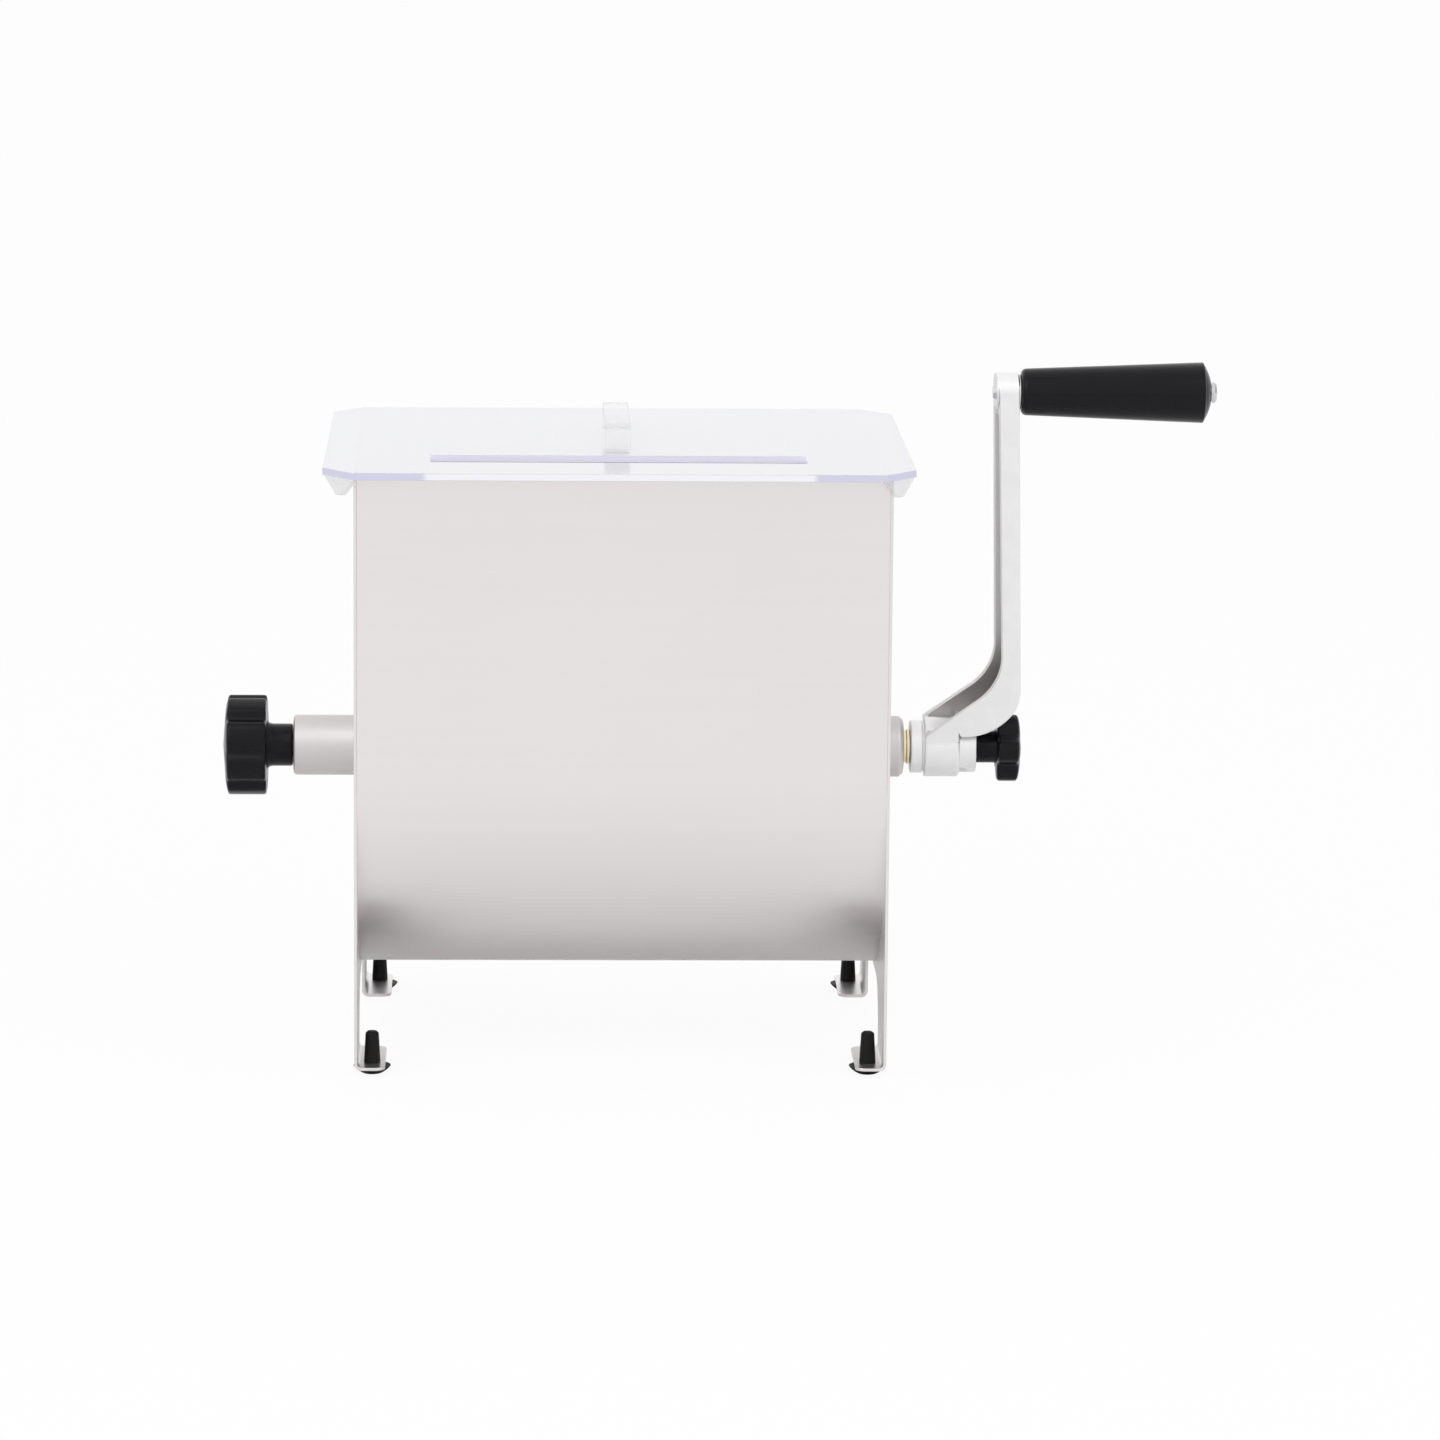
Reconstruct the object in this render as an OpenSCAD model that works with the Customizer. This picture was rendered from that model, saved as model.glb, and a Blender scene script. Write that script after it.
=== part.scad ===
// Manual meat mixer: stainless trough between two legged end plates, clear lid with
// folded corners, paddle shaft on a screw-in pivot pin, cast channel crank with a free grip.

/* [Tank] */
// Width over the two end plates
tank_w = 260; // [240:1:290]
// Depth from the front wall to the back wall
tank_d = 215; // [200:1:235]
// Floor to the lowest point of the trough
belly_z = 38.5; // [36:0.5:48]
// Shaft axis to the rim
rim_rise = 151; // [140:1:170]
// Thickness of the trough sheet
trough_t = 1.2; // [0.8:0.1:1.8]
// Thickness of each end plate
plate_t = 1.5; // [1.2:0.1:2]

/* [Legs] */
// Length of each foot tab along the depth
tab_l = 49; // [42:1:54]
// Reach of each foot tab from the plate's outer face
tab_reach = 15; // [15:0.5:18]
// Inside radius of the bend between leg and tab
tab_bend = 2; // [1:0.5:2.5]
// Radius of the tab's free corners
tab_corner = 5; // [3:0.5:6]
// Radius at the top corners of the arch between the legs
arch_corner = 22; // [16:1:26]

/* [Rubber feet] */
// Diameter of the foot's dome
foot_d = 18.5; // [16:0.5:20]
// Height of the dome below the tab
foot_h = 3.8; // [3:0.2:5]
// Diameter of the dome's flat contact patch
foot_flat_d = 9; // [8:0.5:11]
// Height of the pull-through stem above the tab
stem_h = 15.5; // [13:0.5:18]
// Distance from the plate's front or back edge to the stem
stem_inset = 14; // [13:0.5:20]

/* [Lid] */
// Overhang past each end plate
lid_over_x = 13; // [13:0.5:16]
// Overhang past the front and back walls
lid_over_y = 15.5; // [14.5:0.5:18]
// Thickness of the clear sheet
lid_t = 3.4; // [2.5:0.1:3.6]
// How far right of centre the loose lid lies on the rim
lid_shift = -2; // [-2.5:0.5:2.5]
// Fold line's cut along the width
fold_x = 15; // [13:0.5:16]
// Fold line's cut along the depth
fold_y = 19; // [17:0.5:20]
// Drop of the folded corner below the sheet
fold_drop = 8.5; // [6:0.5:10]
// Length of the feed slot
slot_l = 183; // [150:1:200]
// Width of the feed slot
slot_w = 25; // [20:0.5:28]
// Length of the bow handle along the depth
handle_l = 98; // [86:1:104]
// Width of the bow handle
handle_w = 12.5; // [10:0.5:16]
// Height of the bow handle above the lid
handle_h = 13.8; // [12:0.2:20]
// Thickness of the handle's strip
handle_t = 3.4; // [3:0.2:4]

/* [Pivot side] */
// Length of the threaded sleeve outside the plate
sleeve_l = 32.5; // [28:0.5:36]
// Diameter of the threaded sleeve
sleeve_d = 30; // [26:0.5:34]
// Diameter of the pivot pin's screw
pin_d = 12; // [10:0.5:13]
// Diameter of the pivot pin's nose
nose_d = 10; // [8:0.5:10]
// Length of the nose inside the shaft
nose_l = 12; // [10:0.5:14]
// Length of the knob's hub
knob_hub_l = 13; // [10:0.2:14]
// Diameter of the knob's hub
knob_hub_d = 20.5; // [19:0.5:24]
// Width of the knob's lobed head
knob_head_l = 22; // [18:0.5:25]
// Diameter of the knob's lobed head
knob_head_d = 50; // [44:0.5:54]
// Number of lobes on the pivot knob
knob_lobes = 8; // [7:1:9]

/* [Drive side] */
// Length of the welded bearing boss
boss_l = 12.5; // [10:0.5:14]
// Diameter of the welded bearing boss
boss_d = 30.5; // [28:0.5:34]
// Outside diameter of the brass bush
bush_d = 16; // [15:0.5:18]
// Diameter of the brass bush's flange
bush_flange_d = 17.6; // [17.4:0.2:22]
// Length of bush in sight outside the boss
bush_out = 3.2; // [3:0.2:6]
// Diameter of the drive shaft's journal
journal_d = 12; // [11:0.5:12]
// Diameter of the drive shaft's collar
collar_d = 18; // [17:0.5:20]

/* [Crank] */
// Radius from the shaft axis to the grip axis
crank_r = 188.5; // [170:0.5:200]
// Lean of the crank towards the front as it stands
crank_rest = 12; // [0:1:30]
// Diameter of the crank's hub
hub_d = 30; // [28:0.5:34]
// Half width of the arm's top boss
top_r = 9.5; // [8.5:0.5:11]
// Wall of the cast channel
arm_wall = 2.8; // [2.4:0.1:3.2]
// Reach of the arm's outer side beyond the bush
arm_reach = 53.8; // [52.8:0.2:53.8]
// Depth of the arm's channel section
arm_depth = 11; // [10.5:0.5:12.5]
// Width of the arm where it meets the hub
arm_root_d = 26.6; // [25:0.1:28.6]
// Turn of the channel's mouth towards the front
mouth_turn = 6; // [0:1:7]
// Set-in of the arm's top towards the tank
arm_lean = 5.6; // [2:0.2:6]
// Length of the grip
grip_l = 94; // [84:1:104]
// Diameter of the grip at its inner end
grip_d1 = 23; // [20:0.5:25]
// Diameter of the grip at its outer end
grip_d2 = 29.8; // [26:0.2:33]
// Diameter of the grip's bolt
bolt_d = 8; // [7:0.5:9]
// Diameter of the lock knob's head
lock_d = 34.5; // [32:0.5:34.5]
// Width of the lock knob's head
lock_l = 12.5; // [10:0.5:14]
// Number of lobes on the lock knob
lock_lobes = 5; // [5:1:7]
// Diameter of the lock knob's stud
stud_d = 6; // [5:0.5:6]

/* [Paddles] */
// Diameter of the mixing shaft
shaft_d = 16; // [16:0.5:20]
// Gap between blade tip and trough
tip_gap = 6; // [4:0.5:10]
// Length of each blade along its arm
blade_l = 44; // [36:1:50]
// Width of each blade
blade_w = 50; // [40:1:56]
// Thickness of each blade
blade_t = 3; // [2.5:0.1:4]
// Pitch of each blade to the shaft
blade_pitch = 30; // [15:1:40]
// Diameter of each paddle arm
arm_rod_d = 10; // [9:0.5:11]

/* [Hidden] */
$fn = 64;

steel = [0.80, 0.79, 0.78];
bright = [0.72, 0.72, 0.74];
alloy = [0.86, 0.86, 0.86];
brassy = [0.80, 0.66, 0.38];
black = [0.09, 0.09, 0.10];
clear = [0.90, 0.90, 0.96, 0.45];

seat = 0.3;
run = 0.05;
trough_r = tank_d / 2;
axis_z = belly_z + trough_r;
rim_z = axis_z + rim_rise;
side = tank_w / 2;
inner = side - plate_t;
half_d = tank_d / 2;
tab_z = foot_h + plate_t;
arch_half = half_d - tab_l;
arch_top = belly_z - 1.5;
stem_x = side - tab_reach / 2 - 1;
stem_y = half_d - stem_inset;
stem_hole_r = 3.5;

lid_x = side + lid_over_x;
lid_y = half_d + lid_over_y;
lid_top = rim_z + lid_t;
slot_far = handle_l / 2 + 8.5;
fold_len = sqrt(fold_x * fold_x + fold_y * fold_y);
fold_turn = atan2(fold_x, fold_y);
fold_set = 0.3;

shaft_left = -inner + 1;
pin_nose_end = shaft_left + nose_l;
sleeve_end = -side - sleeve_l;
knob_in = sleeve_end - seat;
knob_face = knob_in - knob_hub_l;
knob_out = knob_face - knob_head_l;
pin_tail = knob_face - 12;

boss_end = side + boss_l;
bush_end = boss_end + bush_out;
collar_x1 = inner - seat;
collar_x0 = collar_x1 - 8;
shaft_right = collar_x0 - seat;
tongue_l = 13;
tongue_t = 6;

hub_x0 = bush_end + seat;
hub_x1 = hub_x0 + 6;
hub_x2 = hub_x1 + 1;
hub_x3 = hub_x2 + 17.5;
hub_x4 = hub_x3 + 8.4;
square_x1 = hub_x3 + 2;
square_s = 8.4;
stud_x0 = hub_x2 + 5;
shank_x0 = hub_x4 + seat;
lock_x0 = shank_x0 + 10;
lock_x1 = lock_x0 + lock_l;

arm_out = hub_x0 + arm_reach;
arm_in = arm_out - arm_depth;
bend_r = 27;
bend_t = 39;
scoop_r = 28;
scoop_t = 52;
scoop_slope = 37;
arm_top_t = crank_r + top_r + 4;
tuck = 0.01;
lean_rate = arm_lean / (arm_top_t - bend_t);
top_out = arm_out - lean_rate * (crank_r - bend_t);
top_in = arm_in - lean_rate * (crank_r - bend_t);
grip_x0 = top_out + 1.2;
grip_x1 = grip_x0 + grip_l;
bolt_x1 = grip_x1 + seat + 1.8;

sweep_r = trough_r - trough_t - tip_gap;
blade_r0 = sweep_r - blade_l;
rod_r0 = shaft_d / 2 - 4;
rod_r1 = blade_r0 + 14;
paddle_step = inner / 2.2;

origin_x = -(knob_out + bolt_x1) / 2;

module along_x(x0, x1, r) {
    translate([x0, 0, 0]) rotate([0, 90, 0]) cylinder(h = x1 - x0, r = r);
}

module cone_x(x0, x1, r0, r1) {
    translate([x0, 0, 0]) rotate([0, 90, 0]) cylinder(h = x1 - x0, r1 = r0, r2 = r1);
}

module plate_x(x0, x1) {
    translate([x0, 0, 0]) rotate([90, 0, 90]) linear_extrude(height = x1 - x0) children();
}

module plate_y(w) {
    rotate([90, 0, 0]) linear_extrude(height = w, center = true) children();
}

module on_axis() {
    translate([origin_x, 0, axis_z]) children();
}

module on_crank() {
    on_axis() rotate([crank_rest, 0, 0]) children();
}

module on_floor() {
    translate([origin_x, 0, 0]) children();
}

module u_outline(r) {
    circle(r = r, $fn = 128);
    translate([-r, 0]) square([2 * r, rim_rise]);
}

module trough_shell() {
    color(steel) on_axis() plate_x(-inner, inner) difference() {
        u_outline(trough_r);
        u_inner();
    }
}

module u_inner() {
    circle(r = trough_r - trough_t, $fn = 128);
    translate([-trough_r + trough_t, 0]) square([tank_d - 2 * trough_t, rim_rise + 1]);
}

module arch_outline() {
    hgt = arch_top - arch_corner;
    translate([-arch_half, -1]) square([2 * arch_half, hgt + 1]);
    translate([-arch_half + arch_corner, -1])
        square([2 * (arch_half - arch_corner), arch_top + 1]);
    for (s = [-1, 1])
        translate([s * (arch_half - arch_corner), hgt]) circle(r = arch_corner);
}

module plate_outline() {
    difference() {
        translate([-half_d, foot_h + plate_t + tab_bend])
            square([tank_d, rim_z - foot_h - plate_t - tab_bend]);
        arch_outline();
    }
}

module tab_flat() {
    free = side - tab_reach;
    bend_x = side - plate_t - tab_bend;
    y0 = half_d - tab_l;
    translate([free + tab_corner, y0]) square([bend_x - free - tab_corner, tab_l]);
    translate([free, y0 + tab_corner]) square([tab_corner + 1, tab_l - 2 * tab_corner]);
    for (y = [y0 + tab_corner, half_d - tab_corner])
        translate([free + tab_corner, y]) circle(r = tab_corner);
}

module tab_bend_sector() {
    difference() {
        intersection() {
            circle(r = tab_bend + plate_t);
            translate([0, -tab_bend - plate_t]) square(tab_bend + plate_t);
        }
        circle(r = tab_bend);
    }
}

module foot_tab() {
    difference() {
        translate([0, 0, foot_h]) linear_extrude(height = plate_t) tab_flat();
        translate([stem_x, stem_y, 0]) cylinder(h = tab_z + 1, r = stem_hole_r);
    }
    translate([side - plate_t - tab_bend, half_d - tab_l / 2, tab_z + tab_bend])
        plate_y(tab_l) tab_bend_sector();
}

module end_plate(hole_r) {
    difference() {
        plate_x(inner, side) plate_outline();
        translate([0, 0, axis_z]) along_x(inner - 1, side + 1, hole_r);
    }
    foot_tab();
    mirror([0, 1, 0]) foot_tab();
}

module end_plate_left() {
    color(steel) on_floor() mirror([1, 0, 0]) end_plate(pin_d / 2 + run);
}

module end_plate_right() {
    color(steel) on_floor() end_plate(bush_d / 2 + 0.02);
}

module pivot_sleeve() {
    bevel = 1;
    color(steel) on_axis() difference() {
        union() {
            along_x(sleeve_end + bevel, -side, sleeve_d / 2);
            cone_x(sleeve_end, sleeve_end + bevel, sleeve_d / 2 - bevel, sleeve_d / 2);
        }
        along_x(sleeve_end - 1, -side + 1, pin_d / 2 + run);
    }
}

module bearing_boss() {
    bevel = 2;
    color(steel) on_axis() difference() {
        union() {
            along_x(side, boss_end - bevel, boss_d / 2);
            cone_x(boss_end - bevel, boss_end, boss_d / 2, boss_d / 2 - bevel);
        }
        along_x(side - 1, boss_end + 1, bush_d / 2 + 0.02);
    }
}

module brass_bush() {
    flange_l = 1.6;
    color(brassy) on_axis() difference() {
        union() {
            along_x(inner, bush_end, bush_d / 2);
            along_x(bush_end - flange_l, bush_end, bush_flange_d / 2);
        }
        along_x(inner - 1, bush_end + 1, journal_d / 2 + run);
    }
}

module rubber_foot(sx, sy) {
    flat_r = foot_flat_d / 2;
    rim_r = foot_d / 2;
    ball_z = (rim_r * rim_r + foot_h * foot_h - flat_r * flat_r) / (2 * foot_h);
    ball_r = sqrt(flat_r * flat_r + ball_z * ball_z);
    neck_r = stem_hole_r - run;
    color(black) translate([origin_x + sx * stem_x, sy * stem_y, 0]) {
        intersection() {
            translate([0, 0, ball_z]) sphere(r = ball_r);
            cylinder(h = foot_h, r = rim_r + 1);
        }
        translate([0, 0, foot_h - 0.5]) cylinder(h = plate_t + 1, r = neck_r);
        translate([0, 0, tab_z]) cylinder(h = stem_h - 1, r1 = neck_r + 0.6, r2 = neck_r - 0.2);
        translate([0, 0, tab_z + stem_h - 1])
            cylinder(h = 1, r1 = neck_r - 0.2, r2 = neck_r - 1.2);
    }
}

module foot_front_left() {
    rubber_foot(-1, -1);
}

module foot_front_right() {
    rubber_foot(1, -1);
}

module foot_rear_left() {
    rubber_foot(-1, 1);
}

module foot_rear_right() {
    rubber_foot(1, 1);
}

module lid_outline() {
    polygon([
        [-lid_x + fold_x, -lid_y], [lid_x - fold_x, -lid_y], [lid_x, -lid_y + fold_y],
        [lid_x, lid_y - fold_y], [lid_x - fold_x, lid_y], [-lid_x + fold_x, lid_y],
        [-lid_x, lid_y - fold_y], [-lid_x, -lid_y + fold_y]]);
}

module fold_outline() {
    tip = 4;
    top = fold_len / 2 - 0.8;
    polygon([
        [-top, lid_t / 2], [-top, 0], [-tip / 2, -fold_drop], [tip / 2, -fold_drop],
        [top, 0], [top, lid_t / 2]]);
}

module folded_corner() {
    translate([lid_x - fold_x / 2, lid_y - fold_y / 2, rim_z])
        rotate([0, 0, fold_turn + 90]) translate([0, lid_t / 2 + fold_set, 0])
            plate_y(lid_t) fold_outline();
}

module lid_sheet() {
    color(clear) on_floor() translate([lid_shift, 0, 0]) {
        difference() {
            translate([0, 0, rim_z]) linear_extrude(height = lid_t) lid_outline();
            translate([-slot_l / 2, -slot_far - slot_w, rim_z - 1])
                cube([slot_l, slot_w, lid_t + 2]);
        }
        for (sx = [0, 1], sy = [0, 1])
            mirror([sx, 0, 0]) mirror([0, sy, 0]) folded_corner();
    }
}

module bow_outline(half, top, r) {
    translate([-half, 0]) square([2 * half, top - r]);
    translate([-half + r, 0]) square([2 * (half - r), top]);
    intersection() {
        translate([-half, 0]) square([2 * half, top]);
        for (s = [-1, 1])
            translate([s * (half - r), top - r]) circle(r = r);
    }
}

module lid_handle() {
    outer_r = 11;
    color(clear) on_floor() translate([lid_shift, 0, lid_top]) plate_x(-handle_w / 2, handle_w / 2)
        difference() {
            bow_outline(handle_l / 2, handle_h, outer_r);
            translate([0, -1])
                bow_outline(handle_l / 2 - handle_t, handle_h + 1 - handle_t, outer_r - handle_t);
        }
}

module lobes(count, pitch_r, lobe_r, core_r) {
    circle(r = core_r);
    for (i = [0 : count - 1])
        rotate((i + 0.5) * 360 / count) translate([pitch_r, 0]) circle(r = lobe_r);
}

module pivot_pin() {
    color(bright) on_axis() {
        along_x(pin_tail, shaft_left - 0.4, pin_d / 2);
        along_x(shaft_left - 0.4, pin_nose_end - 1, nose_d / 2);
        cone_x(pin_nose_end - 1, pin_nose_end, nose_d / 2, nose_d / 2 - 1);
    }
}

module pivot_knob() {
    dome_r = 90;
    lobe_r = knob_head_d * 0.165;
    color(black) on_axis() difference() {
        union() {
            along_x(knob_face - 0.5, knob_in, knob_hub_d / 2);
            intersection() {
                plate_x(knob_out - 1, knob_face)
                    lobes(knob_lobes, knob_head_d / 2 - lobe_r, lobe_r, knob_head_d * 0.43);
                translate([knob_out + dome_r, 0, 0]) sphere(r = dome_r, $fn = 128);
            }
        }
        along_x(pin_tail - seat, knob_in + 1, pin_d / 2 + run);
    }
}

module drive_shaft() {
    color(bright) on_axis() difference() {
        union() {
            translate([collar_x0 - tongue_l, -tongue_t / 2, -collar_d / 2 + 1.5])
                cube([tongue_l + 1, tongue_t, collar_d - 3]);
            along_x(collar_x0, collar_x1, collar_d / 2);
            along_x(collar_x1 - 1, hub_x1, journal_d / 2);
            rotate([crank_rest, 0, 0]) translate([hub_x1 - 0.5, -square_s / 2, -square_s / 2])
                cube([square_x1 - hub_x1 + 0.3, square_s, square_s]);
        }
        along_x(stud_x0 - 2, square_x1 + 1, stud_d / 2 + run);
    }
}

module at_paddle(i) {
    on_axis() translate([(i - 2.5) * paddle_step, 0, 0])
        rotate([i % 2 == 1 ? 90 : -90, 0, 0]) children();
}

module mixing_shaft() {
    slot_t = tongue_t + 0.2;
    color(bright) difference() {
        on_axis() along_x(shaft_left, shaft_right, shaft_d / 2);
        on_axis() along_x(shaft_left - 1, pin_nose_end + 1, nose_d / 2 + run);
        on_axis() translate([shaft_right - tongue_l - seat, -slot_t / 2, -shaft_d])
            cube([tongue_l + 2, slot_t, 2 * shaft_d]);
        for (i = [1 : 4])
            at_paddle(i) translate([0, 0, rod_r0]) cylinder(h = shaft_d, r = arm_rod_d / 2 + 0.02);
    }
}

module blade_blank(t, l) {
    rotate([0, 0, blade_pitch]) translate([-blade_w / 2, -t / 2, blade_r0]) cube([blade_w, t, l]);
}

module paddle_arm(i) {
    color(bright) at_paddle(i) difference() {
        translate([0, 0, rod_r0]) cylinder(h = rod_r1 - rod_r0, r = arm_rod_d / 2);
        blade_blank(blade_t + 0.04, blade_l);
    }
}

module paddle_blade(i) {
    corner = 10;
    color(bright) at_paddle(i) intersection() {
        blade_blank(blade_t, blade_l);
        along_x(-blade_w, blade_w, sweep_r);
        rotate([0, 0, blade_pitch]) plate_y(2 * blade_t) {
            translate([-blade_w / 2 + corner, blade_r0]) square([blade_w - 2 * corner, blade_l]);
            translate([-blade_w / 2, blade_r0 + corner]) square([blade_w, blade_l]);
            for (s = [-1, 1])
                translate([s * (blade_w / 2 - corner), blade_r0 + corner]) circle(r = corner);
        }
    }
}

module paddle_arm_1() {
    paddle_arm(1);
}

module paddle_arm_2() {
    paddle_arm(2);
}

module paddle_arm_3() {
    paddle_arm(3);
}

module paddle_arm_4() {
    paddle_arm(4);
}

module paddle_blade_1() {
    paddle_blade(1);
}

module paddle_blade_2() {
    paddle_blade(2);
}

module paddle_blade_3() {
    paddle_blade(3);
}

module paddle_blade_4() {
    paddle_blade(4);
}

module bend_side(inset) {
    translate([arm_out - bend_r, bend_t]) intersection() {
        circle(r = bend_r - inset, $fn = 96);
        translate([-bend_r, -bend_r]) square([2 * bend_r, bend_r]);
    }
    polygon([
        [arm_out - bend_r, bend_t], [arm_out - inset, bend_t],
        [arm_out - arm_lean - inset, arm_top_t], [arm_in - arm_lean - 20, arm_top_t],
        [arm_in - 20, bend_t + 20]]);
    translate([hub_x2, inset]) square([hub_x3 - 0.8 - hub_x2 - inset, bend_t - inset]);
}

module scoop() {
    cx = arm_in - scoop_r;
    tx = cx + (scoop_r - tuck) * sin(scoop_slope);
    tt = scoop_t - (scoop_r - tuck) * cos(scoop_slope);
    run_x = 60;
    translate([cx, scoop_t]) circle(r = scoop_r, $fn = 96);
    polygon([
        [cx, scoop_t], [tx, tt], [tx - run_x, tt - run_x * tan(scoop_slope)],
        [tx - run_x, arm_top_t + 5], [arm_in - arm_lean, arm_top_t + 5],
        [arm_in - tuck, scoop_t]]);
}

module arm_profile() {
    intersection() {
        bend_side(0);
        translate([hub_x2, 0]) square([arm_reach, arm_top_t]);
    }
}

module mouth() {
    translate([arm_in, 0, 0]) rotate([0, 0, mouth_turn]) translate([-arm_in, 0, 0])
        plate_y(3 * hub_d) scoop();
}

module arm_face(hub_r, end_r, end_t) {
    slope = (hub_r - end_r) / end_t;
    c = sqrt(1 - slope * slope);
    low = hub_r - tuck;
    high = end_r - tuck;
    circle(r = hub_r);
    translate([0, end_t]) circle(r = end_r);
    polygon([
        [-low * c, low * slope], [low * c, low * slope],
        [high * c, end_t + high * slope], [-high * c, end_t + high * slope]]);
}

module channel() {
    pocket_top = crank_r - top_r - 4;
    intersection() {
        plate_y(2 * hub_d) bend_side(arm_wall);
        plate_x(hub_x2 + 2.5, arm_out)
            arm_face(arm_root_d / 2 - arm_wall, top_r - arm_wall, pocket_top);
    }
}

module crank_arm() {
    color(alloy) on_crank() difference() {
        union() {
            difference() {
                intersection() {
                    plate_y(2 * hub_d) arm_profile();
                    plate_x(hub_x2, arm_out) arm_face(arm_root_d / 2, top_r, crank_r);
                }
                mouth();
                channel();
            }
            along_x(hub_x0, hub_x1, hub_d / 2 - 1.8);
            along_x(hub_x1 - 0.5, hub_x2 + 0.5, hub_d / 2 - 3);
            along_x(hub_x2, hub_x3, hub_d / 2);
            along_x(hub_x3 - 0.5, hub_x4, hub_d / 2 - 2.2);
            translate([0, 0, crank_r]) along_x(top_in, grip_x0 - seat, top_r - 0.8);
        }
        along_x(hub_x0 - 1, hub_x1, journal_d / 2 + run);
        translate([hub_x1 - 1, -square_s / 2 - run, -square_s / 2 - run])
            cube([square_x1 - hub_x1 + 1, square_s + 2 * run, square_s + 2 * run]);
        along_x(square_x1 - 1, hub_x4 + 1, stud_d / 2 + run);
        translate([0, 0, crank_r]) along_x(top_in - 10, arm_out + 10, bolt_d / 2 + 0.02);
    }
}

module grip_bolt() {
    head_r = bolt_d / 2 + 1.2;
    end_l = 1.6;
    color(bright) on_crank() translate([0, 0, crank_r]) difference() {
        union() {
            along_x(top_in - 0.02, grip_x1 + seat + 0.1, bolt_d / 2);
            along_x(grip_x1 + seat, bolt_x1 - 1, head_r);
            cone_x(bolt_x1 - 1, bolt_x1, head_r, head_r - 0.8);
            cone_x(top_in - end_l, top_in, bolt_d / 2 - 1, bolt_d / 2);
        }
        translate([bolt_x1 - 1.8, 0, 0]) rotate([0, 90, 0]) cylinder(h = 4, r = 2.9, $fn = 6);
    }
}

module grip_outline() {
    chamfer = 2.5;
    dome_h = 4.2;
    shoulder = 0.3;
    r1 = grip_d1 / 2;
    r2 = grip_d2 / 2;
    rim_t = grip_l - dome_h;
    dome_d = r2 - shoulder;
    dome_r = (dome_d * dome_d + dome_h * dome_h) / (2 * dome_h);
    difference() {
        polygon([
            [0, 0], [r1 - chamfer + 0.6, 0], [r1, chamfer], [r2, rim_t],
            [r2, grip_l], [0, grip_l]]);
        difference() {
            translate([0, rim_t]) square([2 * r2, 2 * dome_h]);
            translate([0, grip_l - dome_r]) circle(r = dome_r, $fn = 128);
        }
    }
}

module grip() {
    color(black) on_crank() translate([grip_x0, 0, crank_r]) rotate([0, 90, 0]) difference() {
        rotate_extrude() grip_outline();
        translate([0, 0, -1]) cylinder(h = grip_l + 2, r = bolt_d / 2 + run);
    }
}

module lock_stud() {
    color(bright) on_axis() along_x(stud_x0, lock_x0 + 6, stud_d / 2);
}

module lock_knob() {
    lobe_r = lock_d * 0.19;
    dome_r = 70;
    color(black) on_axis() difference() {
        union() {
            along_x(shank_x0, lock_x0 + 0.5, 8);
            intersection() {
                plate_x(lock_x0, lock_x1 + 1)
                    rotate(-90 - 180 / lock_lobes)
                        lobes(lock_lobes, lock_d / 2 - lobe_r, lobe_r, lock_d * 0.36);
                translate([lock_x1 - dome_r, 0, 0]) sphere(r = dome_r, $fn = 128);
            }
        }
        along_x(shank_x0 - 1, lock_x0 + 6 + seat, stud_d / 2 + run);
    }
}

trough_shell();
end_plate_left();
end_plate_right();
pivot_sleeve();
bearing_boss();
brass_bush();
foot_front_left();
foot_front_right();
foot_rear_left();
foot_rear_right();
lid_sheet();
lid_handle();
pivot_pin();
pivot_knob();
drive_shaft();
mixing_shaft();
paddle_arm_1();
paddle_arm_2();
paddle_arm_3();
paddle_arm_4();
paddle_blade_1();
paddle_blade_2();
paddle_blade_3();
paddle_blade_4();
crank_arm();
grip_bolt();
grip();
lock_stud();
lock_knob();
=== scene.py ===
"""A hand-cranked meat mixer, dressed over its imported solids. All lengths are in metres."""

import logging
import math
from dataclasses import dataclass
from enum import Enum

import bmesh
import bpy
from mathutils import Matrix, Vector


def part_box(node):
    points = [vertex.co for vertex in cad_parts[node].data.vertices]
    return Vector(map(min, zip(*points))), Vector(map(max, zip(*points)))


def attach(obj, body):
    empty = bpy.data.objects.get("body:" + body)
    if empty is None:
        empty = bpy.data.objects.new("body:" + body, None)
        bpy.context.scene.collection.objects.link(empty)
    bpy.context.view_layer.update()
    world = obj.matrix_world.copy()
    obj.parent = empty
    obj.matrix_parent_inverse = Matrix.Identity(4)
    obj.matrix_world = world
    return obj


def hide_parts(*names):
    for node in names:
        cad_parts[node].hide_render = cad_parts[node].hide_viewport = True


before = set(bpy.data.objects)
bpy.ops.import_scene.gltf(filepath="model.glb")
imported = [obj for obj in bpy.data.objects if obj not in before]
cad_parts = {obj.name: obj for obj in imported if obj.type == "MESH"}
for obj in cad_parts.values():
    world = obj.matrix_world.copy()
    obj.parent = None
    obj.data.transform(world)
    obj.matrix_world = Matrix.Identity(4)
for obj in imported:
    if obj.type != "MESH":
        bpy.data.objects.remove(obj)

LOG = logging.getLogger("meat_mixer")
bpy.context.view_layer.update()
TANK_X = -0.047082
LID_SHIFT = -0.002
LID_X = TANK_X + LID_SHIFT
AXIS_Z = 0.146
CRANK_LEAN = math.radians(12.0)
CRANK_R = 0.1885
GRIP_Y = -CRANK_R * math.sin(CRANK_LEAN)
GRIP_Z = AXIS_Z + CRANK_R * math.cos(CRANK_LEAN)
SHARP = math.radians(32.0)
FLAT = math.radians(0.6)
SMOOTH_DEG = 38.0
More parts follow.
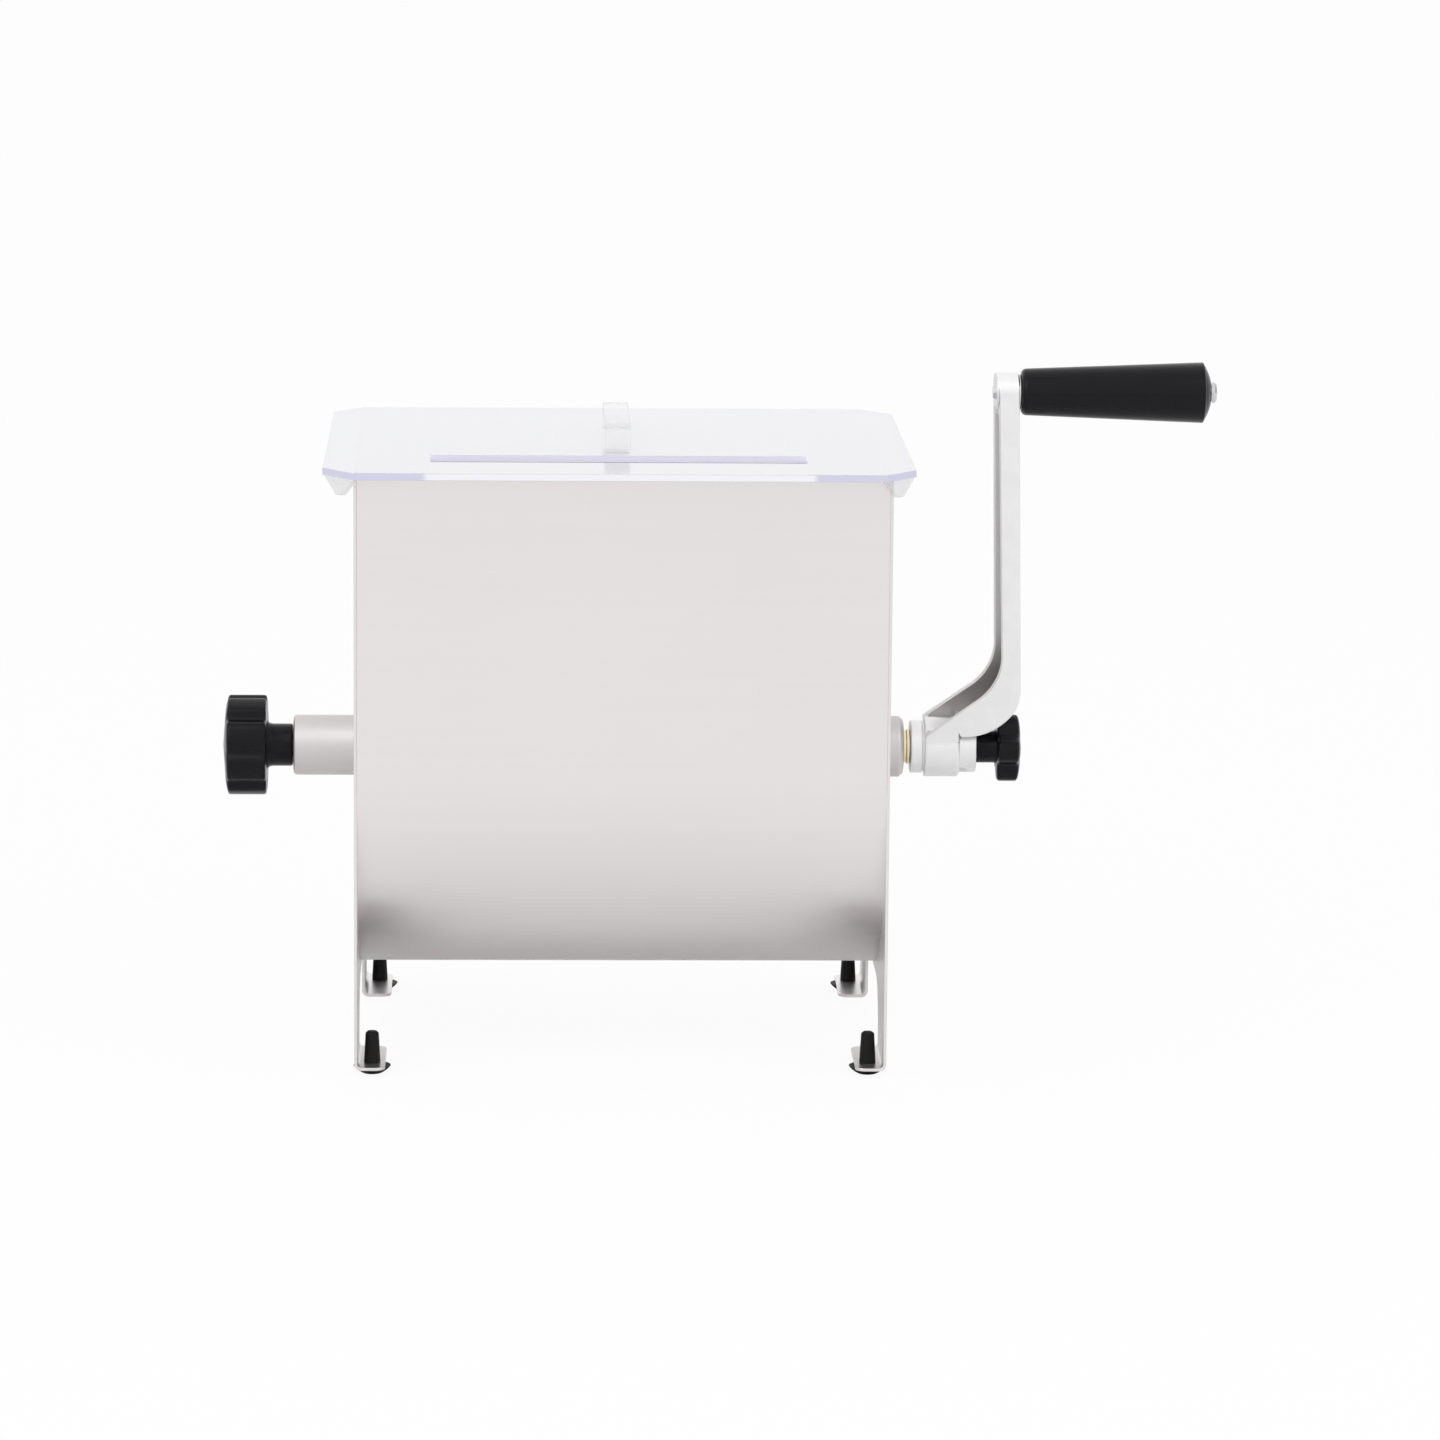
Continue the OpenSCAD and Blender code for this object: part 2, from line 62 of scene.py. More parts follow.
KNOB_SMOOTH_DEG = 50.0
ROUND_STEPS = 3
WELD_GAP = 2e-6
SEAM_GAP = 1e-6
POINT_GAP = 1e-7
FEW_OCTAVES = 2.0
MORE_OCTAVES = 3.0
NOISE_MEAN = 0.5
CLEAR_IOR = 1.49

Colour = tuple[float, float, float, float]
Triple = tuple[float, float, float]
Profile = list[tuple[float, float]]
Steps = tuple[tuple[float, float], ...]

EVEN: Triple = (1.0, 1.0, 1.0)
WHITE: Colour = (1.0, 1.0, 1.0, 1.0)


class Body(Enum):
    """The bodies that pieces ride on."""

    TANK = "tank"
    ROTOR = "rotor"
    GRIP = "grip"
    LOCK_STUD = "lock_stud"
    LOCK_KNOB = "lock_knob"
    PIVOT_PIN = "pivot_pin"
    PIVOT_KNOB = "pivot_knob"
    LID = "lid"


class Slot(Enum):
    """The record's material slots."""

    STAINLESS = "stainless"
    BRASS = "brass"
    RUBBER = "rubber"
    CLEAR_SHEET = "clear_sheet"
    BRIGHT_STEEL = "bright_steel"
    BLACK_PLASTIC = "black_plastic"
    CAST_ALUMINIUM = "cast_aluminium"


class Limit(Enum):
    """Which edges of a piece are rounded."""

    SHARP_EDGES = "ANGLE"
    CHOSEN_EDGES = "WEIGHT"


class Grain(Enum):
    """The way a brushed surface runs, as cycles per metre along each axis."""

    ALONG_X = (14.0, 1500.0, 1500.0)
    ALONG_Z = (1500.0, 1500.0, 14.0)


class Value:
    """A number in a node tree that Python's operators join with Math nodes."""

    def __init__(self, tree: "Tree", socket: bpy.types.NodeSocket) -> None:
        """Keeps the tree and the socket that holds the number."""
        self.tree = tree
        self.socket = socket

    def math(self, operation: str, *terms: "Value | float") -> "Value":
        """Adds one Math node.

        Args:
            operation: The Math node's operation.
            terms: Its inputs in order.

        Returns:
            The node's result.
        """
        node = self.tree.add("ShaderNodeMath", {"operation": operation}, dict(enumerate(terms)))
        return Value(self.tree, node.outputs[0])

    def __add__(self, other: "Value | float") -> "Value":
        """This number plus another."""
        return self.math("ADD", self, other)

    def __radd__(self, other: float) -> "Value":
        """A plain number plus this one."""
        return self.math("ADD", other, self)

    def __sub__(self, other: "Value | float") -> "Value":
        """This number less another."""
        return self.math("SUBTRACT", self, other)

    def __rsub__(self, other: float) -> "Value":
        """A plain number less this one."""
        return self.math("SUBTRACT", other, self)

    def __mul__(self, other: "Value | float") -> "Value":
        """This number times another."""
        return self.math("MULTIPLY", self, other)

    def __rmul__(self, other: float) -> "Value":
        """A plain number times this one."""
        return self.math("MULTIPLY", other, self)

    def __truediv__(self, other: "Value | float") -> "Value":
        """This number divided by another."""
        return self.math("DIVIDE", self, other)

    def __rtruediv__(self, other: float) -> "Value":
        """A plain number divided by this one."""
        return self.math("DIVIDE", other, self)

    def __pow__(self, other: "Value | float") -> "Value":
        """This number to a power."""
        return self.math("POWER", self, other)

    def __gt__(self, other: "Value | float") -> "Value":
        """One where this number is the larger, else zero."""
        return self.math("GREATER_THAN", self, other)

    def __abs__(self) -> "Value":
        """This number without its sign."""
        return self.math("ABSOLUTE", self)

    def cosine(self) -> "Value":
        """The cosine of this angle in radians."""
        return self.math("COSINE", self)

    def sine(self) -> "Value":
        """The sine of this angle in radians."""
        return self.math("SINE", self)

    def sign(self) -> "Value":
        """Minus one, zero or one."""
        return self.math("SIGN", self)

    def fraction(self) -> "Value":
        """The part after the point."""
        return self.math("FRACT", self)

    def least(self, other: "Value | float") -> "Value":
        """The smaller of two numbers."""
        return self.math("MINIMUM", self, other)

    def most(self, other: "Value | float") -> "Value":
        """The larger of two numbers."""
        return self.math("MAXIMUM", self, other)

    def clamped(self) -> "Value":
        """This number kept between zero and one."""
        return self.most(0.0).least(1.0)

    def swing(self, amount: float) -> "Value":
        """How far a noise strays from its mean, times an amount."""
        return amount * (self - NOISE_MEAN)


class Tree:
    """A node tree with one method that makes its nodes."""

    def __init__(self, tree: bpy.types.NodeTree) -> None:
        """Keeps the tree."""
        self.tree = tree

    def add(
        self,
        kind: str,
        settings: dict[str, object] | None = None,
        sockets: dict[str | int, object] | None = None,
    ) -> bpy.types.Node:
        """Makes one node.

        Args:
            kind: The node's type.
            settings: Its properties, which are set first.
            sockets: Values, or links to other nodes, for its inputs.

        Returns:
            The node.
        """
        node = self.tree.nodes.new(kind)
        for name, setting in (settings or {}).items():
            setattr(node, name, setting)
        for key, given in (sockets or {}).items():
            target = node.inputs[key]
            if isinstance(given, Value):
                self.tree.links.new(given.socket, target)
            elif isinstance(given, bpy.types.NodeSocket):
                self.tree.links.new(given, target)
            else:
                target.default_value = given
        return node

    def number(self, node: bpy.types.Node, output: str | int = 0) -> Value:
        """A node's output as a number."""
        return Value(self, node.outputs[output])


class Paint(Tree):
    """A material's nodes, from Object coordinates to one Principled shader."""

    FIRST_COLOUR = 6
    SECOND_COLOUR = 7
    MIXED_COLOUR = 2

    def __init__(self, name: str) -> None:
        """Starts an empty material."""
        self.material = bpy.data.materials.new(name)
        self.material.use_nodes = True
        super().__init__(self.material.node_tree)
        self.tree.nodes.clear()
        self.place = self.add("ShaderNodeTexCoord").outputs["Object"]

    def axes(self) -> tuple[Value, Value, Value]:
        """The point's place as three numbers."""
        parts = self.add("ShaderNodeSeparateXYZ", None, {0: self.place})
        return self.number(parts, 0), self.number(parts, 1), self.number(parts, 2)

    def noise(self, scale: float, detail: float, stretch: Triple = EVEN) -> Value:
        """Cloudy noise on Object coordinates.

        Args:
            scale: Cycles per unit of the stretched coordinates.
            detail: Octaves.
            stretch: How much each axis is scaled first.

        Returns:
            A number about one half.
        """
        spread = self.add("ShaderNodeMapping", None, {"Vector": self.place, "Scale": stretch})
        sockets = {"Vector": spread.outputs[0], "Scale": scale, "Detail": detail}
        return self.number(self.add("ShaderNodeTexNoise", None, sockets))

    def blend(
        self, share: Value, first: Colour | bpy.types.NodeSocket, second: Colour
    ) -> bpy.types.NodeSocket:
        """One colour running into another."""
        sockets = {0: share, self.FIRST_COLOUR: first, self.SECOND_COLOUR: second}
        node = self.add("ShaderNodeMix", {"data_type": "RGBA"}, sockets)
        return node.outputs[self.MIXED_COLOUR]

    def bump(self, height: Value, strength: float, depth: float) -> bpy.types.NodeSocket:
        """A normal raised by a height map."""
        sockets = {"Height": height, "Strength": strength, "Distance": depth}
        return self.add("ShaderNodeBump", None, sockets).outputs[0]

    def surface(self, sockets: dict[str | int, object]) -> bpy.types.Material:
        """Ends the material in a Principled shader.

        Args:
            sockets: The shader's values and links.

        Returns:
            The finished material.
        """
        shader = self.add("ShaderNodeBsdfPrincipled", None, sockets)
        self.add("ShaderNodeOutputMaterial", None, {"Surface": shader.outputs[0]})
        return self.material


@dataclass(frozen=True)
class BrushedSteel:
    """Stainless steel with fine brushing and soft broader streaks."""

    name: str
    colour: Colour
    dull: Colour
    roughness: float
    grain: Grain
    fine_scale: float = 1.0
    broad_scale: float = 0.16
    cloud_scale: float = 9.0
    broad_share: float = 0.55
    cloud_share: float = 0.45
    fine_rough: float = 0.08
    cloud_rough: float = 0.06
    broad_height: float = 0.3
    relief: float = 0.015
    depth: float = 0.0002

    def tint(self, paint: Paint, tone: Value) -> bpy.types.NodeSocket:
        """The steel's colour at a point."""
        return paint.blend(tone, self.dull, self.colour)

    def material(self) -> bpy.types.Material:
        """Builds the finish."""
        paint = Paint(self.name)
        fine = paint.noise(self.fine_scale, FEW_OCTAVES, self.grain.value)
        broad = paint.noise(self.broad_scale, MORE_OCTAVES, self.grain.value)
        cloud = paint.noise(self.cloud_scale, FEW_OCTAVES)
        tone = self.broad_share * broad + self.cloud_share * cloud
        return paint.surface({
            "Base Color": self.tint(paint, tone),
            "Metallic": 1.0,
            "Roughness": self.roughness + fine.swing(self.fine_rough) + cloud.swing(self.cloud_rough),
            "Normal": paint.bump(fine + self.broad_height * broad, self.relief, self.depth),
        })


@dataclass(frozen=True)
class CornerShadedSteel(BrushedSteel):
    """The shell's steel, with a painted dark reflection low down in the corners beside the end
    plates.
    """

    # near-black grey of the painted dark reflection in the lower corners
    painted_corner_shade: Colour = (0.18, 0.17, 0.17, 1)
    strength: float = 0.65
    seam_x: float = 0.130
    seam_reach: float = 0.055
    seam_fade: float = 1.5
    seam_top: float = 0.083
    seam_rise: float = 0.018
    belly_z: float = 0.040
    belly_rise: float = 0.050
    belly_share: float = 0.6

    def tint(self, paint: Paint, tone: Value) -> bpy.types.NodeSocket:
        """The steel's colour, with the painted dark reflection toward the lower ends of the seams."""
        # painted dark reflection: strongest beside the end plates and low down, fading up the belly
        along, _, height = paint.axes()
        inward = self.seam_x - abs(along - TANK_X)
        beside = (1.0 - inward / self.seam_reach).most(0.0) ** self.seam_fade
        below = ((self.seam_top - height) / self.seam_rise).clamped()
        above = (self.belly_share + (height - self.belly_z) / self.belly_rise).least(1.0)
        share = self.strength * beside * below * above
        return paint.blend(share, super().tint(paint, tone), self.painted_corner_shade)


@dataclass(frozen=True)
class CastAlloy:
    """Cast and tumbled aluminium with a faint grain."""

    name: str
    colour: Colour
    dull: Colour
    roughness: float
    metallic: float = 0.85
    grain_scale: float = 900.0
    mottle_scale: float = 120.0
    contrast: float = 1.6
    cut: float = 0.3
    mottle_rough: float = 0.16
    mottle_height: float = 0.6
    relief: float = 0.07
    depth: float = 0.0003

    def tone(self, paint: Paint, mottle: Value) -> Value:
        """How bright the metal is at a point.

        Args:
            paint: The material's nodes; not used here.
            mottle: The casting's mottle at that point.

        Returns:
            A number that is dull at zero and bright at one.
        """
        return self.contrast * mottle - self.cut

    def material(self) -> bpy.types.Material:
        """Builds the finish."""
        paint = Paint(self.name)
        grain = paint.noise(self.grain_scale, MORE_OCTAVES)
        mottle = paint.noise(self.mottle_scale, MORE_OCTAVES)
        tone = self.tone(paint, mottle).clamped()
        return paint.surface({
            "Base Color": paint.blend(tone, self.dull, self.colour),
            "Metallic": self.metallic,
            "Roughness": self.roughness + mottle.swing(self.mottle_rough),
            "Normal": paint.bump(grain + self.mottle_height * mottle, self.relief, self.depth),
        })


@dataclass(frozen=True)
class ShadedCastSkin(CastAlloy):
    """The rougher, unpolished skin inside a casting, its channel darkened with painted shade, darkest
    between its mouth and its long run.
    """

    contrast: float = 0.5
    mottle_height: float = 1.0
    relief: float = 0.12
    depth: float = 0.0004
    run_z: float = 0.186
    run_reach: float = 0.016
    mouth_z: float = 0.178
    mouth_reach: float = 0.026

    def tone(self, paint: Paint, mottle: Value) -> Value:
        """How bright the skin is, by its height in the channel: painted shade, darkest between mouth
        and run.
        """
        _, _, height = paint.axes()
        run = (height - self.run_z) / self.run_reach
        mouth = (self.mouth_z - height) / self.mouth_reach
        return run.most(mouth) + mottle.swing(self.contrast)


@dataclass(frozen=True)
class MouldedPlastic:
    """Black moulded plastic with a slight flow mottle."""

    name: str
    colour: Colour
    worn: Colour
    roughness: float
    flow_scale: float = 70.0
    grain_scale: float = 1600.0
    flow_rough: float = 0.14
    grain_rough: float = 0.05
    relief: float = 0.06
    depth: float = 0.0002
    sheen: float = 0.17

    def material(self) -> bpy.types.Material:
        """Builds the finish."""
        paint = Paint(self.name)
        flow = paint.noise(self.flow_scale, MORE_OCTAVES)
        grain = paint.noise(self.grain_scale, FEW_OCTAVES)
        return paint.surface({
            "Base Color": paint.blend(flow, self.colour, self.worn),
            "Roughness": self.roughness + flow.swing(self.flow_rough) + grain.swing(self.grain_rough),
            "Normal": paint.bump(grain + flow, self.relief, self.depth),
            "Specular IOR Level": self.sheen,
        })


@dataclass(frozen=True)
class TurnedMetal:
    """Metal turned in a lathe, with rings round the shaft's line."""

    name: str
    colour: Colour
    dull: Colour
    roughness: float
    rings_along: float = 6000.0
    rings_outward: float = 5000.0
    cloud_scale: float = 160.0
    ring_rough: float = 0.05
    cloud_rough: float = 0.12
    relief: float = 0.03
    depth: float = 0.0001

    def material(self) -> bpy.types.Material:
        """Builds the finish."""
        paint = Paint(self.name)
        along, across, height = paint.axes()
        lift = height - AXIS_Z
        radius = (across * across + lift * lift) ** 0.5
        rings = (self.rings_along * along + self.rings_outward * radius).sine()
        cloud = paint.noise(self.cloud_scale, MORE_OCTAVES)
        return paint.surface({
            "Base Color": paint.blend(cloud, self.dull, self.colour),
            "Metallic": 1.0,
            "Roughness": self.roughness + self.ring_rough * rings + cloud.swing(self.cloud_rough),
            "Normal": paint.bump(rings, self.relief, self.depth),
        })


@dataclass(frozen=True)
class ClearSheet:
    """Clear plastic sheet, faintly rippled, that whitens where it is seen at a low angle."""

    name: str
    colour: Colour
    roughness: float
    veil: float
    glance: float
    glance_fade: float = 4.0
    ripple_scale: float = 30.0
    scuff_scale: float = 420.0
    scuff_stretch: Triple = (1.0, 0.12, 1.0)
    scuff_rough: float = 0.05
    scuff_veil: float = 0.02
    relief: float = 0.02
    depth: float = 0.001

    def material(self) -> bpy.types.Material:
        """Builds the finish."""
        paint = Paint(self.name)
        ripple = paint.noise(self.ripple_scale, FEW_OCTAVES)
        scuff = paint.noise(self.scuff_scale, MORE_OCTAVES, self.scuff_stretch)
        facing = paint.number(paint.add("ShaderNodeLayerWeight", None, {"Blend": 0.5}), "Facing")
        veil = self.veil + self.glance * facing ** self.glance_fade + self.scuff_veil * scuff
        return paint.surface({
            "Base Color": self.colour,
            "Roughness": self.roughness + scuff.swing(self.scuff_rough),
            "IOR": CLEAR_IOR,
            "Alpha": veil.least(1.0),
            "Normal": paint.bump(ripple, self.relief, self.depth),
        })


@dataclass(frozen=True)
class SheetEdge:
    """A sawn edge of the clear sheet, tinted violet away from the slot, with a painted violet glow
    standing in for the light it gathers.
    """

    name: str
    violet: Colour
    pale: Colour
    # strength of the painted violet glow, an emission though the edge is no lamp
    glow: float
    clear_half: float = 0.0925
    front_y: float = -0.121
    sharpness: float = 400.0
    saw_stretch: Triple = (300.0, 300.0, 2200.0)
    roughness: float = 0.32
    saw_rough: float = 0.2
    relief: float = 0.08
    depth: float = 0.0002

    def material(self) -> bpy.types.Material:
        """Builds the finish."""
        paint = Paint(self.name)
        along, across, _ = paint.axes()
        beside = (abs(along - LID_X) - self.clear_half) * self.sharpness
        behind = (across - self.front_y) * self.sharpness
        tint = beside.most(behind).clamped()
        saw = paint.noise(1.0, FEW_OCTAVES, self.saw_stretch)
        return paint.surface({
            "Base Color": paint.blend(tint, self.pale, self.violet),
            "Roughness": self.roughness + saw.swing(self.saw_rough),
            "IOR": CLEAR_IOR,
            # painted glow: the edge emits its own violet light
            "Emission Color": self.violet,
            "Emission Strength": self.glow,
            "Normal": paint.bump(saw, self.relief, self.depth),
        })


class Finishes:
    """Every finish of the mixer, made once."""

    def __init__(self) -> None:
        """Builds the materials."""
        # the panel's lower corners carry a painted dark reflection
        self.panel = CornerShadedSteel(
            "brushed_panel", (0.87, 0.84, 0.84, 1), (0.83, 0.80, 0.80, 1), 0.33, Grain.ALONG_X
        ).material()
        self.plate = BrushedSteel(
            "brushed_plate", (0.86, 0.835, 0.835, 1), (0.81, 0.785, 0.785, 1), 0.33, Grain.ALONG_Z
        ).material()
        self.turned = TurnedMetal(
            "turned_steel", (0.74, 0.715, 0.71, 1), (0.68, 0.66, 0.65, 1), 0.5
        ).material()
        self.bright = TurnedMetal(
            "bright_steel", (0.76, 0.76, 0.77, 1), (0.64, 0.64, 0.66, 1), 0.18
        ).material()
        self.brass = TurnedMetal(
            "turned_brass", (0.96, 0.85, 0.60, 1), (0.88, 0.74, 0.47, 1), 0.26
        ).material()
        self.alloy = CastAlloy(
            "cast_alloy", (0.94, 0.94, 0.94, 1), (0.87, 0.87, 0.87, 1), 0.36
        ).material()
        # the channel's skin is darkened with painted shade, deepest mid-channel
        self.hollow = ShadedCastSkin(
            "shaded_cast_skin", (0.76, 0.75, 0.75, 1), (0.47, 0.45, 0.45, 1), 0.5
        ).material()
        self.plastic = MouldedPlastic(
            "black_plastic", (0.004, 0.004, 0.006, 1), (0.008, 0.008, 0.010, 1), 0.22
        ).material()
        self.rubber = MouldedPlastic(
            "foot_rubber", (0.005, 0.005, 0.005, 1), (0.012, 0.012, 0.012, 1), 0.5
        ).material()
        self.sheet = ClearSheet("clear_sheet", (0.86, 0.86, 0.895, 1), 0.06, 0.12, 1.45).material()
        # the folds' sheet is a greyer, less clear copy of the sheet: painted shade for the folded
        # corners and the bow's sawn sides
        self.fold = ClearSheet("folded_sheet", (0.80, 0.80, 0.81, 1), 0.12, 0.4, 0.6).material()
        self.bow = ClearSheet("bow_sheet", (0.88, 0.88, 0.91, 1), 0.06, 0.03, 0.9).material()
        # both sawn edges glow with painted light; the slot's walls glow brighter to lift their shade
        self.edge = SheetEdge(
            "sheet_edge", (0.575, 0.56, 0.70, 1), (0.82, 0.82, 0.85, 1), 0.16
        ).material()
        self.groove = SheetEdge(
            "slot_edge", (0.80, 0.78, 0.92, 1), (0.82, 0.82, 0.85, 1), 0.27
        ).material()


def lay(name: str, mesh: bpy.types.Mesh, *materials: bpy.types.Material) -> bpy.types.Object:
    """Puts a finished mesh in the scene at the origin.

    Args:
        name: The piece's name.
        mesh: Its mesh, already in place.
        materials: Its materials in slot order.

    Returns:
        The new object.
    """
    mesh.name = name
    mesh.materials.clear()
    for material in materials:
        mesh.materials.append(material)
    piece = bpy.data.objects.new(name, mesh)
    bpy.context.scene.collection.objects.link(piece)
    return piece


def settle(piece: bpy.types.Object) -> None:
    """Turns a piece with modifiers into a plain mesh."""
    graph = bpy.context.evaluated_depsgraph_get()
    mesh = bpy.data.meshes.new_from_object(piece.evaluated_get(graph), depsgraph=graph)
    mesh.name = piece.name
    piece.modifiers.clear()
    piece.data = mesh


def shade(mesh: bpy.types.Mesh, sharp_deg: float = SMOOTH_DEG) -> None:
    """Smooths a mesh and keeps its sharp edges."""
    mesh.polygons.foreach_set("use_smooth", [True] * len(mesh.polygons))
    mesh.set_sharp_from_angle(angle=math.radians(sharp_deg))


def welded(node: str) -> bmesh.types.BMesh:
    """A copy of a CAD solid with its triangles merged into whole faces."""
    shape = bmesh.new()
    shape.from_mesh(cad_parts[node].data)
    bmesh.ops.remove_doubles(shape, verts=shape.verts, dist=WELD_GAP)
    bmesh.ops.dissolve_limit(shape, angle_limit=FLAT, verts=shape.verts, edges=shape.edges)
    return shape


def finished(name: str, shape: bmesh.types.BMesh) -> bpy.types.Mesh:
    """A named mesh from a shape that is then let go."""
    mesh = bpy.data.meshes.new(name)
    shape.to_mesh(mesh)
    shape.free()
    return mesh


def rounded(piece: bpy.types.Object, width: float, limit: Limit) -> None:
    """Rounds a piece's edges and leaves it a plain mesh.

    Args:
        piece: The piece, made from a welded copy.
        width: How wide the widest round is.
        limit: Which edges are rounded.
    """
    bevel = piece.modifiers.new("edge_round", "BEVEL")
    bevel.width = width
    bevel.segments = ROUND_STEPS
    bevel.limit_method = limit.value
    bevel.angle_limit = SHARP
    bevel.use_clamp_overlap = limit is Limit.SHARP_EDGES
    bevel.miter_outer = "MITER_ARC"
    shade(piece.data)
    weights = piece.modifiers.new("face_weights", "WEIGHTED_NORMAL")
    weights.keep_sharp = True
    settle(piece)


def softened(name: str, node: str, width: float, *materials: bpy.types.Material) -> bpy.types.Object:
    """A copy of a CAD solid with its sharp edges rounded.

    Args:
        name: The new piece's name.
        node: The solid to copy.
        width: How wide each edge's round is.
        materials: The piece's materials.

    Returns:
        The new piece, a plain mesh.
    """
    piece = lay(name, finished(name, welded(node)), *materials)
    rounded(piece, width, Limit.SHARP_EDGES)
    return piece


def lathed(mesh_name: str, profile: Profile, y: float, z: float, steps: int = 72) -> bpy.types.Mesh:
    """A turned shape on a line along X.

    Args:
        mesh_name: The mesh's name.
        profile: Points (x, radius) in order along the turned outline.
        y: The line's place across.
        z: The line's height.
        steps: Points round the line.

    Returns:
        The closed mesh.
    """
    shape = bmesh.new()
    turns = [math.tau * i / steps for i in range(steps)]
    rings = []
    for x, radius in profile:
        rings.append([
            shape.verts.new((x, y + radius * math.cos(t), z + radius * math.sin(t))) for t in turns
        ])
    for first, second in zip(rings, rings[1:] + rings[:1]):
        for i in range(steps):
            j = (i + 1) % steps
            shape.faces.new((first[i], first[j], second[j], second[i]))
    bmesh.ops.remove_doubles(shape, verts=shape.verts, dist=POINT_GAP)
    bmesh.ops.recalc_face_normals(shape, faces=shape.faces)
    return finished(mesh_name, shape)


def quarter(steps: int) -> list[float]:
    """The angles of a quarter turn in equal steps, from zero on."""
    return [math.pi / 2 * i / steps for i in range(steps + 1)]


def joined(name: str, meshes: list[bpy.types.Mesh]) -> bpy.types.Mesh:
    """One mesh from several."""
    shape = bmesh.new()
    for mesh in meshes:
        shape.from_mesh(mesh)
    return finished(name, shape)


def carry(piece: bpy.types.Object, body: Body, node: str) -> None:
    """Lets a piece ride on a body and stand for a CAD solid.

    Args:
        piece: The finished piece.
        body: What it moves with.
        node: The solid that it stands for.
    """
    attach(piece, body.value)
    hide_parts(node)
    LOG.info("%s rides on %s", piece.name, body.value)


def fit(
    name: str, node: str, width: float, body: Body, material: bpy.types.Material
) -> None:
    """Puts a rounded copy in a CAD solid's place.

    Args:
        name: The new piece's name.
        node: The solid to copy and stand for.
        width: How wide each edge's round is.
        body: What the piece moves with.
        material: The piece's finish.
    """
    carry(softened(name, node, width, material), body, node)


def dress(node: str, material: bpy.types.Material) -> None:
    """Gives a CAD solid that stays its material."""
    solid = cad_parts[node]
    if not solid.material_slots:
        solid.data.materials.append(material)
    for place in solid.material_slots:
        place.material = material
    LOG.info("%s wears %s", node, material.name)


class Shaper(Tree):
    """A Geometry Nodes tree that bends a grid into a shape by a rule."""

    def __init__(self, name: str) -> None:
        """Starts a tree with one geometry output."""
        super().__init__(bpy.data.node_groups.new(name, "GeometryNodeTree"))
        self.tree.interface.new_socket("Geometry", in_out="OUTPUT", socket_type="NodeSocketGeometry")
        self.sockets: dict[str, str] = {}
        self.inlet = self.add("NodeGroupInput")

    def size(self, name: str, kind: str = "NodeSocketFloat") -> Value:
        """Adds one named input to the tree.

        Args:
            name: The input's name.
            kind: Its socket type.

        Returns:
            The input as a value that the tree's rules can use.
        """
        made = self.tree.interface.new_socket(name, in_out="INPUT", socket_type=kind)
        self.sockets[name] = made.identifier
        return Value(self, self.inlet.outputs[name])

    def sheet(self, around: int, rows: Value | int) -> tuple[bpy.types.NodeSocket, Value, Value]:
        """A flat grid with its two shares.

        Args:
            around: Points round the shape.
            rows: Points along its profile.

        Returns:
            The grid, the share round and the share along.
        """
        sockets = {"Size X": 1.0, "Size Y": 1.0, "Vertices X": around, "Vertices Y": rows}
        grid = self.add("GeometryNodeMeshGrid", None, sockets)
        spot = self.add("GeometryNodeInputPosition")
        parts = self.add("ShaderNodeSeparateXYZ", None, {0: spot.outputs[0]})
        return grid.outputs[0], self.number(parts, 0) + 0.5, self.number(parts, 1) + 0.5

    def wrap(self, grid: bpy.types.NodeSocket, x: Value, ring: Value, angle: Value) -> None:
        """Ends the tree with its grid wrapped round the shaft's line.

        Args:
            grid: The flat grid.
            x: Each point's place along the line.
            ring: Its distance from the line.
            angle: Its turn round the line.
        """
        places = {0: x, 1: ring * angle.cosine(), 2: AXIS_Z + ring * angle.sine()}
        place = self.add("ShaderNodeCombineXYZ", None, places).outputs[0]
        moved = self.add("GeometryNodeSetPosition", None, {"Geometry": grid, "Position": place})
        real = self.add("GeometryNodeRealizeInstances", None, {0: moved.outputs[0]})
        coat = {"Geometry": real.outputs[0], "Material": self.inlet.outputs["Material"]}
        painted = self.add("GeometryNodeSetMaterial", None, coat)
        self.add("NodeGroupOutput", None, {0: painted.outputs[0]})

    def run(self, name: str, inputs: dict[str, object]) -> bpy.types.Mesh:
        """Runs the tree once.

        Args:
            name: The mesh's name.
            inputs: A value for each named input.

        Returns:
            The plain mesh, its normals outwards.
        """
        piece = lay(name, bpy.data.meshes.new(name))
        modifier = piece.modifiers.new("shape", "NODES")
        modifier.node_group = self.tree
        for label, value in inputs.items():
            modifier[self.sockets[label]] = value
        settle(piece)
        mesh = piece.data
        bpy.data.objects.remove(piece)
        shape = bmesh.new()
        shape.from_mesh(mesh)
        bmesh.ops.remove_doubles(shape, verts=shape.verts, dist=SEAM_GAP)
        bmesh.ops.dissolve_degenerate(shape, edges=shape.edges, dist=POINT_GAP)
        bmesh.ops.recalc_face_normals(shape, faces=shape.faces)
        shape.to_mesh(mesh)
        shape.free()
        return mesh


